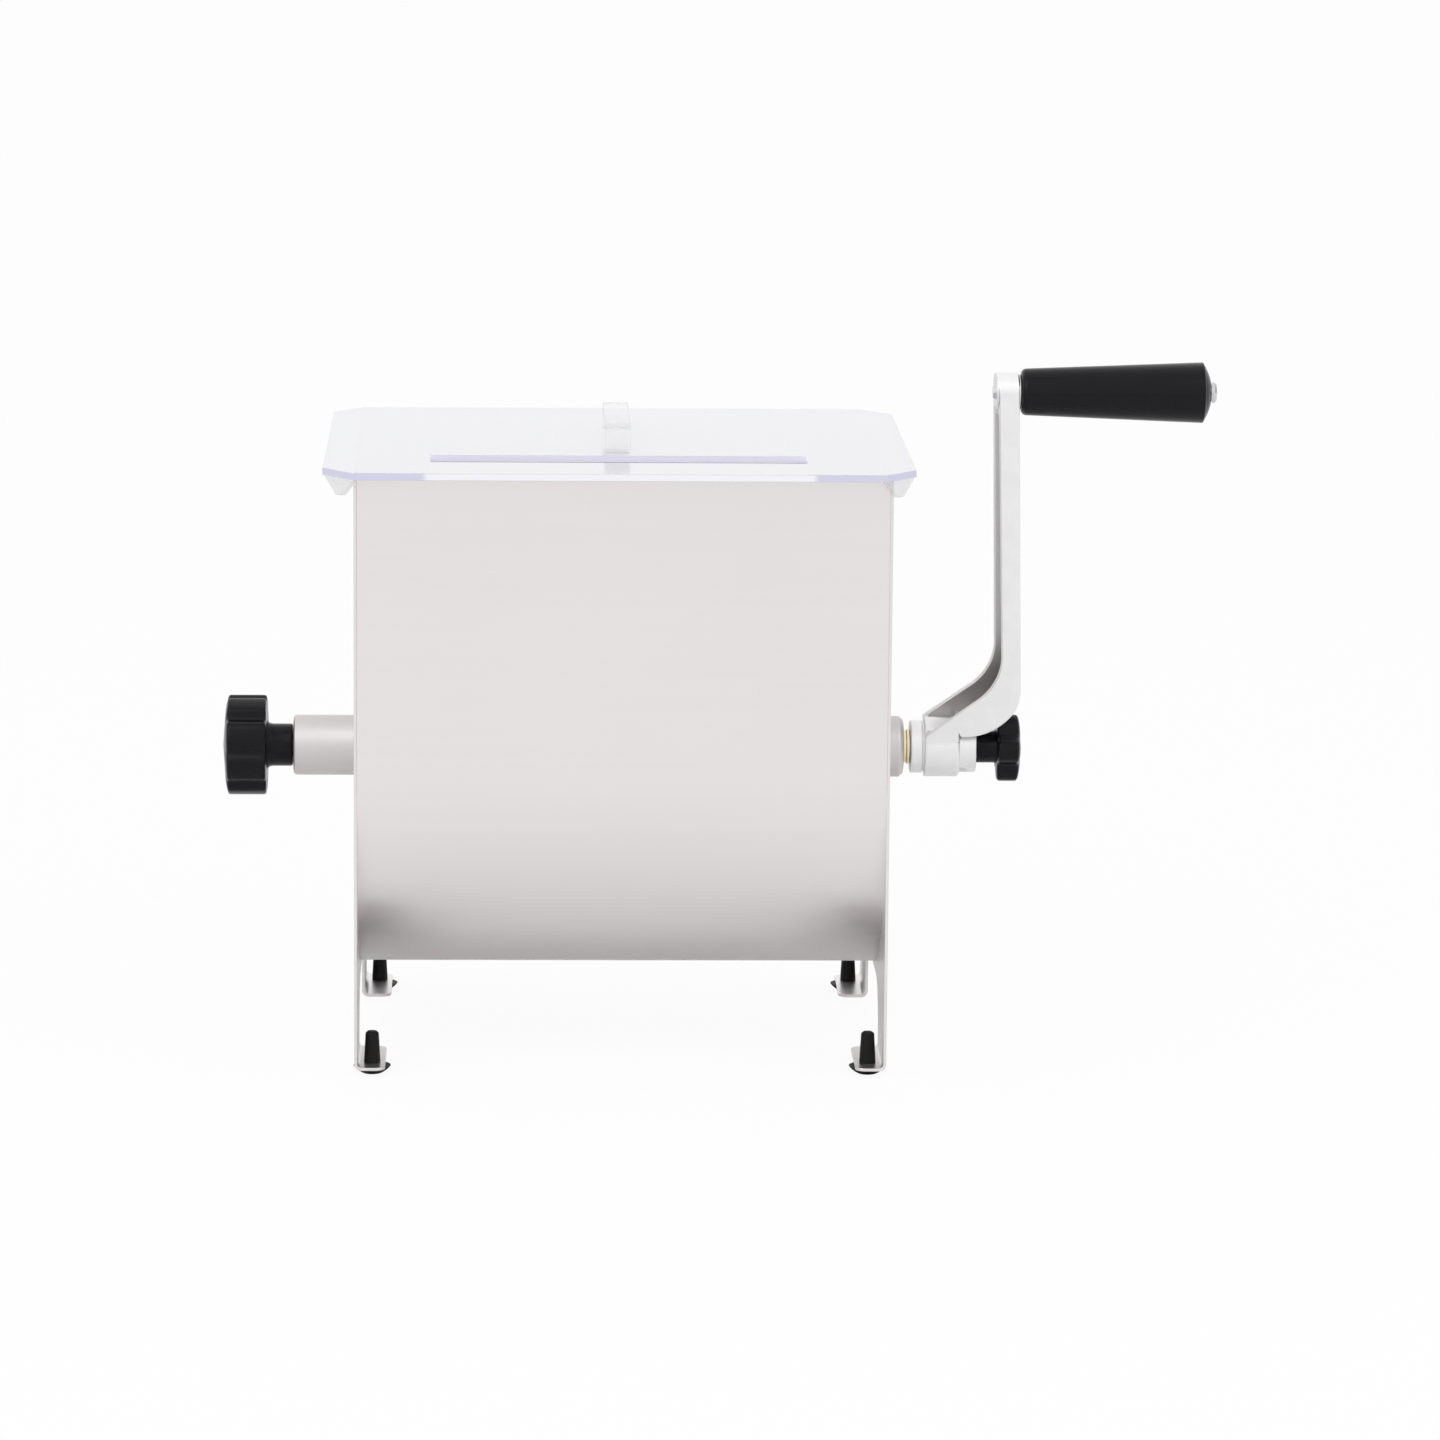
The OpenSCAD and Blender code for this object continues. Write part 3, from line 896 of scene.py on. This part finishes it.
class LobedHead(Shaper):
    """A cushioned knob head with lobes round its rim, on the shaft's line."""

    AROUND = 289
    ROWS = 65

    def __init__(self) -> None:
        """Builds the tree."""
        super().__init__("lobed_head")
        self.size("Material", "NodeSocketMaterial")
        start = self.size("Start")
        length = self.size("Length")
        crest = self.size("Crest Radius")
        valley = self.size("Valley Depth")
        sharpness = self.size("Valley Sharpness")
        count = self.size("Lobes")
        square = self.size("Squareness")
        dome = self.size("Dome")
        grid, around, along = self.sheet(self.AROUND, self.ROWS)
        angle = around * math.tau
        lean = (along - 0.5) * math.pi
        wave = 0.5 + 0.5 * (count * angle).cosine()
        radius = crest - valley * wave ** sharpness
        reach = (lean.cosine() - SEAM_GAP).most(0.0) ** square
        rise = lean.sine().sign() * abs(lean.sine()) ** square
        x = start + length * (0.5 + 0.5 * rise) - dome * reach * reach * rise.most(0.0)
        ring = radius * reach
        self.wrap(grid, x, ring, angle)


class ScrewThread(Shaper):
    """A rod with a helical thread cut into it, on the shaft's line."""

    AROUND = 49

    def __init__(self) -> None:
        """Builds the tree."""
        super().__init__("screw_thread")
        self.size("Material", "NodeSocketMaterial")
        start = self.size("Start")
        length = self.size("Length")
        crest = self.size("Crest Radius")
        depth = self.size("Thread Depth")
        pitch = self.size("Pitch")
        rows = self.size("Rows", "NodeSocketInt")
        grid, around, along = self.sheet(self.AROUND, rows)
        angle = around * math.tau
        inner = ((along * rows - 1.0) / (rows - 2.0)).clamped()
        x = start + length * inner
        turn = (length * inner / pitch - around).fraction()
        groove = 1.0 - abs(2.0 * turn - 1.0)
        body = (along > 0.5 / rows) * (1.0 - (along > 1.0 - 0.5 / rows))
        ring = (crest - depth * groove) * body
        self.wrap(grid, x, ring, angle)


@dataclass
class Tank:
    """The trough, its two legged end plates, the pivot sleeve, the boss and the brass bush."""

    finishes: Finishes
    plate_edge: float = 0.0003
    sleeve_edge: float = 0.0005
    boss_edge: float = 0.0006
    bush_edge: float = 0.0003

    def build(self) -> None:
        """Dresses the shell, and rounds the plates and the turned pieces."""
        looks = self.finishes
        body, steel = Body.TANK, Slot.STAINLESS
        dress("trough_shell", looks.panel)
        for side in ("left", "right"):
            name = f"leg_plate_{side}"
            fit(name, f"end_plate_{side}", self.plate_edge, body, looks.plate)
        fit("turned_sleeve", "pivot_sleeve", self.sleeve_edge, body, looks.turned)
        fit("turned_boss", "bearing_boss", self.boss_edge, body, looks.turned)
        fit("turned_bush", "brass_bush", self.bush_edge, body, looks.brass)


@dataclass
class Feet:
    """Four rubber feet pulled through the leg tabs."""

    finishes: Finishes
    edge: float = 0.0004

    def build(self) -> None:
        """Rounds each foot's rims."""
        rubber = self.finishes.rubber
        for place in ("front_left", "front_right", "rear_left", "rear_right"):
            name = f"pull_foot_{place}"
            fit(name, f"foot_{place}", self.edge, Body.TANK, rubber)


@dataclass
class Lid:
    """The loose clear lid with its slot, folded corners and bow handle."""

    finishes: Finishes
    edge: float = 0.00045
    rim_z: float = 0.297
    slot_half: float = 0.094
    slot_front: float = -0.084
    slot_back: float = -0.056
    steep: float = 0.3
    sideways: float = 0.9

    def build(self) -> None:
        """Rounds the sheet and the bow, and tints their sawn edges with painted glow and painted
        shade.
        """
        self.build_sheet()
        self.build_bow()

    def build_sheet(self) -> None:
        """Rounds the sheet and gives its rim, its slot and its folds their own finishes."""
        finishes = self.finishes
        looks = (finishes.sheet, finishes.edge, finishes.fold, finishes.groove)
        sheet = softened("clear_lid", "lid_sheet", self.edge, *looks)
        for face in sheet.data.polygons:
            x, y, z = face.center
            upright = abs(face.normal.z) < self.steep and z > self.rim_z
            in_slot = abs(x - LID_X) < self.slot_half and self.slot_front < y < self.slot_back
            # folds take the greyer sheet with painted shade; rim and slot walls take the sawn edges
            # with painted glow
            if z < self.rim_z - self.edge:
                face.material_index = looks.index(finishes.fold)
            elif upright and in_slot:
                face.material_index = looks.index(finishes.groove)
            elif upright:
                face.material_index = looks.index(finishes.edge)
        carry(sheet, Body.LID, "lid_sheet")

    def build_bow(self) -> None:
        """Rounds the bow handle and greys its sawn sides with the folds' sheet, a painted shade."""
        bow = softened("clear_bow", "lid_handle", self.edge, self.finishes.bow, self.finishes.fold)
        # sawn sides facing along X take the greyer sheet, a painted shade
        for face in bow.data.polygons:
            face.material_index = int(abs(face.normal.x) > self.sideways)
        carry(bow, Body.LID, "lid_handle")


@dataclass
class PivotScrew:
    """The threaded pivot pin on the left and its lobed knob."""

    finishes: Finishes
    heads: LobedHead
    threads: ScrewThread
    head_x: float = TANK_X - 0.1978
    head_l: float = 0.022
    head_r: float = 0.025
    hub_x: float = TANK_X - 0.1630
    hub_r: float = 0.0106
    hub_edge: Steps = ((-0.0008, 0.0), (-0.0002, -0.0003), (0.0, -0.0009))
    root_l: float = 0.003
    root_r: float = 0.0022
    fillet: Steps = ((0.0002, 0.0016), (0.0012, 0.0004), (0.003, 0.0))
    seat: float = 0.0001
    pin_r: float = 0.006
    pin_x: float = TANK_X - 0.1878
    thread_gap: float = 0.002
    shoulder_x: float = TANK_X - 0.1279
    collar_l: float = 0.0022
    collar_flat: float = 0.0014
    collar_lead: float = 0.0006
    collar_edge: float = 0.0002
    nose_r: float = 0.005
    nose_edge: float = 0.001

    def build(self) -> None:
        """Builds the pin and the knob."""
        self.build_pin()
        self.build_knob()

    def build_pin(self) -> None:
        """Cuts the thread and turns the plain nose."""
        thread = self.threads.run("pin_thread", {
            "Material": self.finishes.bright,
            "Start": self.pin_x,
            "Length": self.shoulder_x - self.pin_x - self.thread_gap,
            "Crest Radius": self.pin_r,
            "Thread Depth": 0.0011,
            "Pitch": 0.002,
            "Rows": 230,
        })
        tip = max(vertex.co.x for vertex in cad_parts["pivot_pin"].data.vertices)
        nose = lathed("pin_nose", [
            (self.shoulder_x - self.collar_l, 0.0),
            (self.shoulder_x - self.collar_l, self.pin_r - self.collar_lead),
            (self.shoulder_x - self.collar_flat, self.pin_r),
            (self.shoulder_x - self.collar_edge, self.pin_r),
            (self.shoulder_x, self.pin_r - self.collar_edge),
            (self.shoulder_x, self.nose_r),
            (tip - self.nose_edge, self.nose_r),
            (tip, self.nose_r - self.nose_edge),
            (tip, 0.0),
        ], 0.0, AXIS_Z)
        mesh = joined("threaded_pin", [thread, nose])
        shade(mesh)
        piece = lay("threaded_pin", mesh, self.finishes.bright)
        carry(piece, Body.PIVOT_PIN, "pivot_pin")

    def build_knob(self) -> None:
        """Moulds the lobed head and its hub."""
        inner = self.head_x + self.head_l
        head = self.heads.run("knob_head", {
            "Material": self.finishes.plastic,
            "Start": inner,
            "Length": -self.head_l,
            "Crest Radius": self.head_r,
            "Valley Depth": 0.0026,
            "Valley Sharpness": 4.0,
            "Lobes": 8.0,
            "Squareness": 0.09,
            "Dome": -0.0026,
        })
        hub = lathed("knob_hub", [
            (inner - self.root_l, self.pin_r + self.seat),
            (inner - self.root_l, self.hub_r + self.root_r),
            *((inner + along, self.hub_r + out) for along, out in self.fillet),
            *((self.hub_x + along, self.hub_r + out) for along, out in self.hub_edge),
            (self.hub_x, self.pin_r + self.seat),
        ], 0.0, AXIS_Z)
        mesh = joined("lobed_pivot_knob", [head, hub])
        shade(mesh, KNOB_SMOOTH_DEG)
        piece = lay("lobed_pivot_knob", mesh, self.finishes.plastic)
        carry(piece, Body.PIVOT_KNOB, "pivot_knob")


@dataclass
class Rotor:
    """The drive shaft, the mixing shaft and its four pitched paddles."""

    finishes: Finishes
    paddles: int = 4
    shaft_edge: float = 0.0003
    blade_edge: float = 0.0006

    def build(self) -> None:
        """Rounds and dresses the turning pieces inside the tank."""
        looks = self.finishes
        body, steel = Body.ROTOR, Slot.BRIGHT_STEEL
        fit("turned_drive", "drive_shaft", self.shaft_edge, body, looks.bright)
        fit("turned_shaft", "mixing_shaft", self.shaft_edge, body, looks.turned)
        for i in range(1, self.paddles + 1):
            fit(f"paddle_rod_{i}", f"paddle_arm_{i}", self.shaft_edge, body, looks.turned)
            fit(f"mixing_blade_{i}", f"paddle_blade_{i}", self.blade_edge, body, looks.plate)


@dataclass
class Crank:
    """The cast channel arm, its grip on a bolt, and the lobed lock knob on a stud."""

    finishes: Finishes
    heads: LobedHead
    threads: ScrewThread
    grip_x: float = TANK_X + 0.19586
    grip_l: float = 0.094
    grip_dome: float = 0.0042
    grip_inner_r: float = 0.0115
    grip_outer_r: float = 0.0149
    grip_round: float = 0.0026
    grip_rim: float = 0.0007
    grip_around: int = 96
    round_steps: int = 6
    rim_steps: int = 5
    dome_steps: int = 14
    bore_r: float = 0.00405
    bolt_edge: float = 0.0003
    lock_x: float = TANK_X + 0.1892
    lock_l: float = 0.0125
    lock_r: float = 0.01725
    shank_x: float = TANK_X + 0.1792
    shank_r: float = 0.008
    shank_edge: float = 0.0006
    flare_start: float = 0.001
    flare_sunk: float = 0.002
    flare_r: float = 0.0015
    stud_r: float = 0.003
    seat: float = 0.0001
    hub_r: float = 0.015
    hub_reach: float = 0.003
    hub_near: float = 0.0004
    hub_past: float = 0.001
    root_r: float = 0.0133
    hub_start: float = 0.1460
    hub_end: float = 0.1705
    top_r: float = 0.0095
    wall: float = 0.0028
    rim_share: float = 1.3
    rim_tilt: float = -0.15
    wall_share: float = 0.72
    wall_tilt: float = 0.3
    mouth_gap: float = 0.0003
    mouth_start: float = 0.009
    pocket_end: float = 0.174
    arm_round: float = 0.0005
    hub_round: float = 0.0016
    ring_round: float = 0.0007
    bend_x: float = 0.1728
    bend_t: float = 0.039
    bend_r: float = 0.027
    bend_near: float = 0.00012
    lip: float = 0.0018
    lip_in: float = 0.0085
    lip_out: float = 0.0100
    lip_near: float = 0.0001
    lip_start: float = 0.1708
    lip_end: float = math.radians(88.0)
    lip_fade: float = math.radians(28.0)

    def build(self) -> None:
        """Builds the arm, the bolt, the grip and the lock screw."""
        self.build_arm()
        bright = self.finishes.bright
        fit("bright_bolt", "grip_bolt", self.bolt_edge, Body.ROTOR, bright)
        self.build_grip()
        self.build_lock()

    def arm_place(self, point: Vector) -> tuple[float, float, float]:
        """A point's place along the shaft, across the arm and along the arm."""
        lift = point.z - AXIS_Z
        across = point.y * math.cos(CRANK_LEAN) + lift * math.sin(CRANK_LEAN)
        along = lift * math.cos(CRANK_LEAN) - point.y * math.sin(CRANK_LEAN)
        return point.x - TANK_X, across, along

    def edge_width(self, point: Vector) -> float:
        """How wide the casting's round is at a point on an edge."""
        x, across, along = self.arm_place(point)
        if self.on_bend(point) or math.hypot(across, along) > self.hub_r + self.hub_reach:
            return self.arm_round
        if abs(x - self.hub_end) < self.hub_near:
            return self.hub_round
        if abs(x - self.hub_start) < self.hub_near or x > self.hub_end + self.hub_past:
            return self.ring_round
        return self.arm_round

    def in_channel(self, face: bpy.types.MeshPolygon) -> bool:
        """Whether a face lies inside the arm's open channel."""
        x, across, along = self.arm_place(face.center)
        half = self.root_r + (self.top_r - self.root_r) * along / CRANK_R
        near_rim = abs(across) > half - self.rim_share * self.wall
        rim = near_rim and face.normal.x < self.rim_tilt
        within = abs(across) < half - self.wall_share * self.wall
        walled = within and face.normal.x < self.wall_tilt and not rim
        above_hub = math.hypot(across, along) > self.hub_r + self.mouth_gap
        hollow = x > self.hub_start + self.mouth_start and 0 < along < self.pocket_end
        return walled and above_hub and hollow

    def on_bend(self, point: Vector) -> bool:
        """Whether a point lies on the outside of the arm's bend."""
        x, _, along = self.arm_place(point)
        reach = math.hypot(x - self.bend_x, along - self.bend_t)
        return abs(reach - self.bend_r) < self.bend_near and along < self.bend_t

    def lip_depth(self, turn: float) -> float:
        """How far the arm's sides stand out past its back at an angle round the bend."""
        return self.lip * min(max((self.lip_end - turn) / self.lip_fade, 0.0), 1.0)

    def lower_sides(self, shape: bmesh.types.BMesh) -> None:
        """Lets the arm's two sides stand out past its back round the bend.

        Args:
            shape: The arm's mesh, which is cut along both lips and drawn out there.
        """
        lean = Vector((0.0, math.cos(CRANK_LEAN), math.sin(CRANK_LEAN)))
        rise = Vector((0.0, -math.sin(CRANK_LEAN), math.cos(CRANK_LEAN)))
        taper = (self.top_r - self.root_r) / CRANK_R
        axis = Vector((TANK_X, 0.0, AXIS_Z))
        out = Vector((1.0, 0.0, 0.0))
        cuts = [(axis + self.lip_start * out, out)]
        for across in (-self.lip_out, -self.lip_in, self.lip_in, self.lip_out):
            cuts.append((axis + across * lean, lean))
        for point, normal in cuts:
            under = [face for face in shape.faces if all(self.on_bend(v.co) for v in face.verts)]
            edges = {edge for face in under for edge in face.edges}
            verts = {vert for face in under for vert in face.verts}
            bmesh.ops.bisect_plane(
                shape,
                geom=[*verts, *edges, *under],
                dist=POINT_GAP,
                plane_co=point,
                plane_no=normal,
            )
        for vert in shape.verts:
            x, across, along = self.arm_place(vert.co)
            started = x > self.lip_start - SEAM_GAP
            aside = abs(across) > self.lip_out - SEAM_GAP
            if not (started and aside and self.on_bend(vert.co)):
                continue
            turn = math.atan2(x - self.bend_x, self.bend_t - along)
            depth = self.lip_depth(turn)
            drop = depth * math.cos(turn)
            vert.co.x += depth * max(math.sin(turn), 0.0)
            vert.co -= drop * rise
            if abs(across) > self.lip_out + self.lip_near:
                vert.co -= math.copysign(taper * drop, across) * lean

    def build_arm(self) -> None:
        """Rounds the casting's edges and paints shade into its unpolished channel."""
        shape = welded("crank_arm")
        layer = shape.edges.layers.float.new("bevel_weight_edge")
        for edge in shape.edges:
            if edge.is_manifold and edge.is_convex and edge.calc_face_angle() > SHARP:
                middle = (edge.verts[0].co + edge.verts[1].co) / 2
                edge[layer] = self.edge_width(middle) / self.hub_round
        self.lower_sides(shape)
        mesh = finished("cast_arm", shape)
        arm = lay("cast_arm", mesh, self.finishes.alloy, self.finishes.hollow)
        rounded(arm, self.hub_round, Limit.CHOSEN_EDGES)
        # faces inside the channel take the skin with painted shade
        for face in arm.data.polygons:
            face.material_index = int(self.in_channel(face))
        carry(arm, Body.ROTOR, "crank_arm")

    def build_grip(self) -> None:
        """Turns the tapered grip with its rounded inner end and its domed outer end."""
        end = self.grip_x + self.grip_l
        small, rim = self.grip_round, self.grip_rim
        outline = [(self.grip_x, self.bore_r)]
        for turn in quarter(self.round_steps):
            outline.append((
                self.grip_x + small * (1 - math.cos(turn)),
                self.grip_inner_r - small + small * math.sin(turn),
            ))
        for turn in quarter(self.rim_steps):
            outline.append((
                end - self.grip_dome - rim * (1 - math.sin(turn)),
                self.grip_outer_r - rim * (1 - math.cos(turn)),
            ))
        reach = self.grip_outer_r - rim
        bulge_r = (reach ** 2 + self.grip_dome ** 2) / (2 * self.grip_dome)
        for i in range(1, self.dome_steps + 1):
            radius = reach + (self.bore_r - reach) * i / self.dome_steps
            outline.append((end - bulge_r + math.sqrt(bulge_r ** 2 - radius ** 2), radius))
        mesh = lathed("tapered_grip", outline, GRIP_Y, GRIP_Z, self.grip_around)
        shade(mesh)
        piece = lay("tapered_grip", mesh, self.finishes.plastic)
        carry(piece, Body.GRIP, "grip")

    def build_lock(self) -> None:
        """Cuts the stud's thread and moulds the lock knob."""
        stud_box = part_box("lock_stud")
        thread = self.threads.run("stud_thread", {
            "Material": self.finishes.bright,
            "Start": stud_box[0][0],
            "Length": stud_box[1][0] - stud_box[0][0],
            "Crest Radius": self.stud_r,
            "Thread Depth": 0.0006,
            "Pitch": 0.001,
            "Rows": 240,
        })
        shade(thread)
        stud = lay("threaded_stud", thread, self.finishes.bright)
        carry(stud, Body.LOCK_STUD, "lock_stud")
        head = self.heads.run("lock_head", {
            "Material": self.finishes.plastic,
            "Start": self.lock_x,
            "Length": self.lock_l,
            "Crest Radius": self.lock_r,
            "Valley Depth": 0.0042,
            "Valley Sharpness": 1.5,
            "Lobes": 5.0,
            "Squareness": 0.2,
            "Dome": 0.0016,
        })
        shank = lathed("lock_shank", [
            (self.shank_x, self.stud_r + self.seat),
            (self.shank_x, self.shank_r - self.shank_edge),
            (self.shank_x + self.shank_edge, self.shank_r),
            (self.lock_x - self.flare_start, self.shank_r),
            (self.lock_x + self.flare_sunk, self.shank_r + self.flare_r),
            (self.lock_x + self.flare_sunk, self.stud_r + self.seat),
        ], 0.0, AXIS_Z)
        mesh = joined("lobed_lock_knob", [head, shank])
        shade(mesh, KNOB_SMOOTH_DEG)
        knob = lay("lobed_lock_knob", mesh, self.finishes.plastic)
        carry(knob, Body.LOCK_KNOB, "lock_knob")


@dataclass
class Studio:
    """A white floor, soft light and the camera."""

    lens: float = 161.06
    sensor: float = 36.0
    far: float = 100.0
    spot: Triple = (TANK_X - 0.05477, -3.17609, 0.72859)
    yaw_deg: float = 1.902
    pitch_deg: float = 10.159
    roll_deg: float = 0.504
    key_spot: Triple = (-1.3, -1.6, 2.1)
    key_power: float = 12.0
    key_size: float = 1.9
    fill_spot: Triple = (1.5, -1.2, 1.6)
    fill_power: float = 6.0
    fill_size: float = 1.4
    aim: Triple = (0.0, 0.0, 0.17)
    floor_half: float = 30.0
    floor_colour: Colour = (0.92, 0.92, 0.92, 1)
    floor_seen: float = 0.93
    floor_mirrored: float = 0.04
    floor_through: float = 0.6
    sky_level: float = 0.80
    sky_seen: float = 0.20
    sky_right: float = 0.5

    def build(self) -> None:
        """Sets up the whole stage."""
        scene = bpy.context.scene
        scene.view_settings.view_transform = "Standard"
        self.build_floor()
        self.build_world()
        self.build_lamp("key", self.key_spot, self.key_power, self.key_size)
        self.build_lamp("fill", self.fill_spot, self.fill_power, self.fill_size)
        self.build_camera()

    def build_floor(self) -> None:
        """Lays a floor that stays white to the eye and keeps a soft shadow."""
        half = self.floor_half
        mesh = bpy.data.meshes.new("floor")
        corners = [(-half, -half, 0), (half, -half, 0), (half, half, 0), (-half, half, 0)]
        mesh.from_pydata(corners, [], [(0, 1, 2, 3)])
        paint = Paint("white_floor")
        seen = paint.add("ShaderNodeLightPath")
        camera = paint.number(seen, "Is Camera Ray")
        glossy = paint.number(seen, "Is Glossy Ray")
        passed = paint.number(seen, "Is Transmission Ray")
        share = (self.floor_seen * camera).most(self.floor_mirrored * glossy)
        share = share.most(self.floor_through * passed)
        matt = paint.add("ShaderNodeBsdfDiffuse", None, {"Color": self.floor_colour})
        glow = paint.add("ShaderNodeEmission", None, {"Color": WHITE, "Strength": 1.0})
        mixed = paint.add(
            "ShaderNodeMixShader", None, {0: share, 1: matt.outputs[0], 2: glow.outputs[0]}
        )
        paint.add("ShaderNodeOutputMaterial", None, {"Surface": mixed.outputs[0]})
        lay("floor", mesh, paint.material)

    def build_world(self) -> None:
        """Sets a white surround with a plain level of light."""
        world = bpy.data.worlds.new("surround")
        world.use_nodes = True
        bpy.context.scene.world = world
        tree = Tree(world.node_tree)
        world.node_tree.nodes.clear()
        seen = tree.add("ShaderNodeLightPath")
        shown = tree.number(seen, "Is Camera Ray").most(tree.number(seen, "Is Glossy Ray"))
        shown = shown.most(tree.number(seen, "Is Transmission Ray"))
        way = tree.add("ShaderNodeTexCoord").outputs["Generated"]
        parts = tree.add("ShaderNodeSeparateXYZ", None, {0: way})
        right = tree.number(parts, 0).most(0.0)
        level = self.sky_level + shown * (self.sky_seen - self.sky_right * right * right)
        sky = tree.add("ShaderNodeBackground", None, {"Color": WHITE, "Strength": level})
        tree.add("ShaderNodeOutputWorld", None, {"Surface": sky.outputs[0]})

    def build_lamp(self, name: str, spot: Triple, power: float, size: float) -> None:
        """Hangs one soft lamp aimed at the mixer.

        Args:
            name: The lamp's name.
            spot: Where it hangs.
            power: Its watts.
            size: Its side.
        """
        lamp = bpy.data.lights.new(name, "AREA")
        lamp.energy = power
        lamp.size = size
        holder = bpy.data.objects.new(name, lamp)
        holder.location = spot
        way = Vector(self.aim) - Vector(spot)
        holder.rotation_euler = way.to_track_quat("-Z", "Y").to_euler()
        bpy.context.scene.collection.objects.link(holder)

    def build_camera(self) -> None:
        """Sets the camera where the photograph was taken from."""
        yaw = math.radians(self.yaw_deg)
        pitch = math.radians(self.pitch_deg)
        roll = math.radians(self.roll_deg)
        ahead = Vector((
            math.sin(yaw) * math.cos(pitch), math.cos(yaw) * math.cos(pitch), -math.sin(pitch)
        ))
        level = Vector((math.cos(yaw), -math.sin(yaw), 0.0))
        down = ahead.cross(level)
        right = level * math.cos(roll) - down * math.sin(roll)
        up = -(level * math.sin(roll) + down * math.cos(roll))
        turn = Matrix((right, up, -ahead)).transposed().to_4x4()
        lens = bpy.data.cameras.new("camera")
        lens.lens = self.lens
        lens.sensor_width = self.sensor
        lens.clip_end = self.far
        camera = bpy.data.objects.new("camera", lens)
        camera.matrix_world = Matrix.Translation(self.spot) @ turn
        bpy.context.scene.collection.objects.link(camera)
        bpy.context.scene.camera = camera


def main() -> None:
    """Builds the studio and every sub-assembly."""
    logging.basicConfig(level=logging.INFO, format="%(name)s: %(message)s")
    Studio().build()
    finishes = Finishes()
    heads = LobedHead()
    threads = ScrewThread()
    Tank(finishes).build()
    Feet(finishes).build()
    Lid(finishes).build()
    PivotScrew(finishes, heads, threads).build()
    Rotor(finishes).build()
    Crank(finishes, heads, threads).build()


if __name__ == "__main__":
    main()
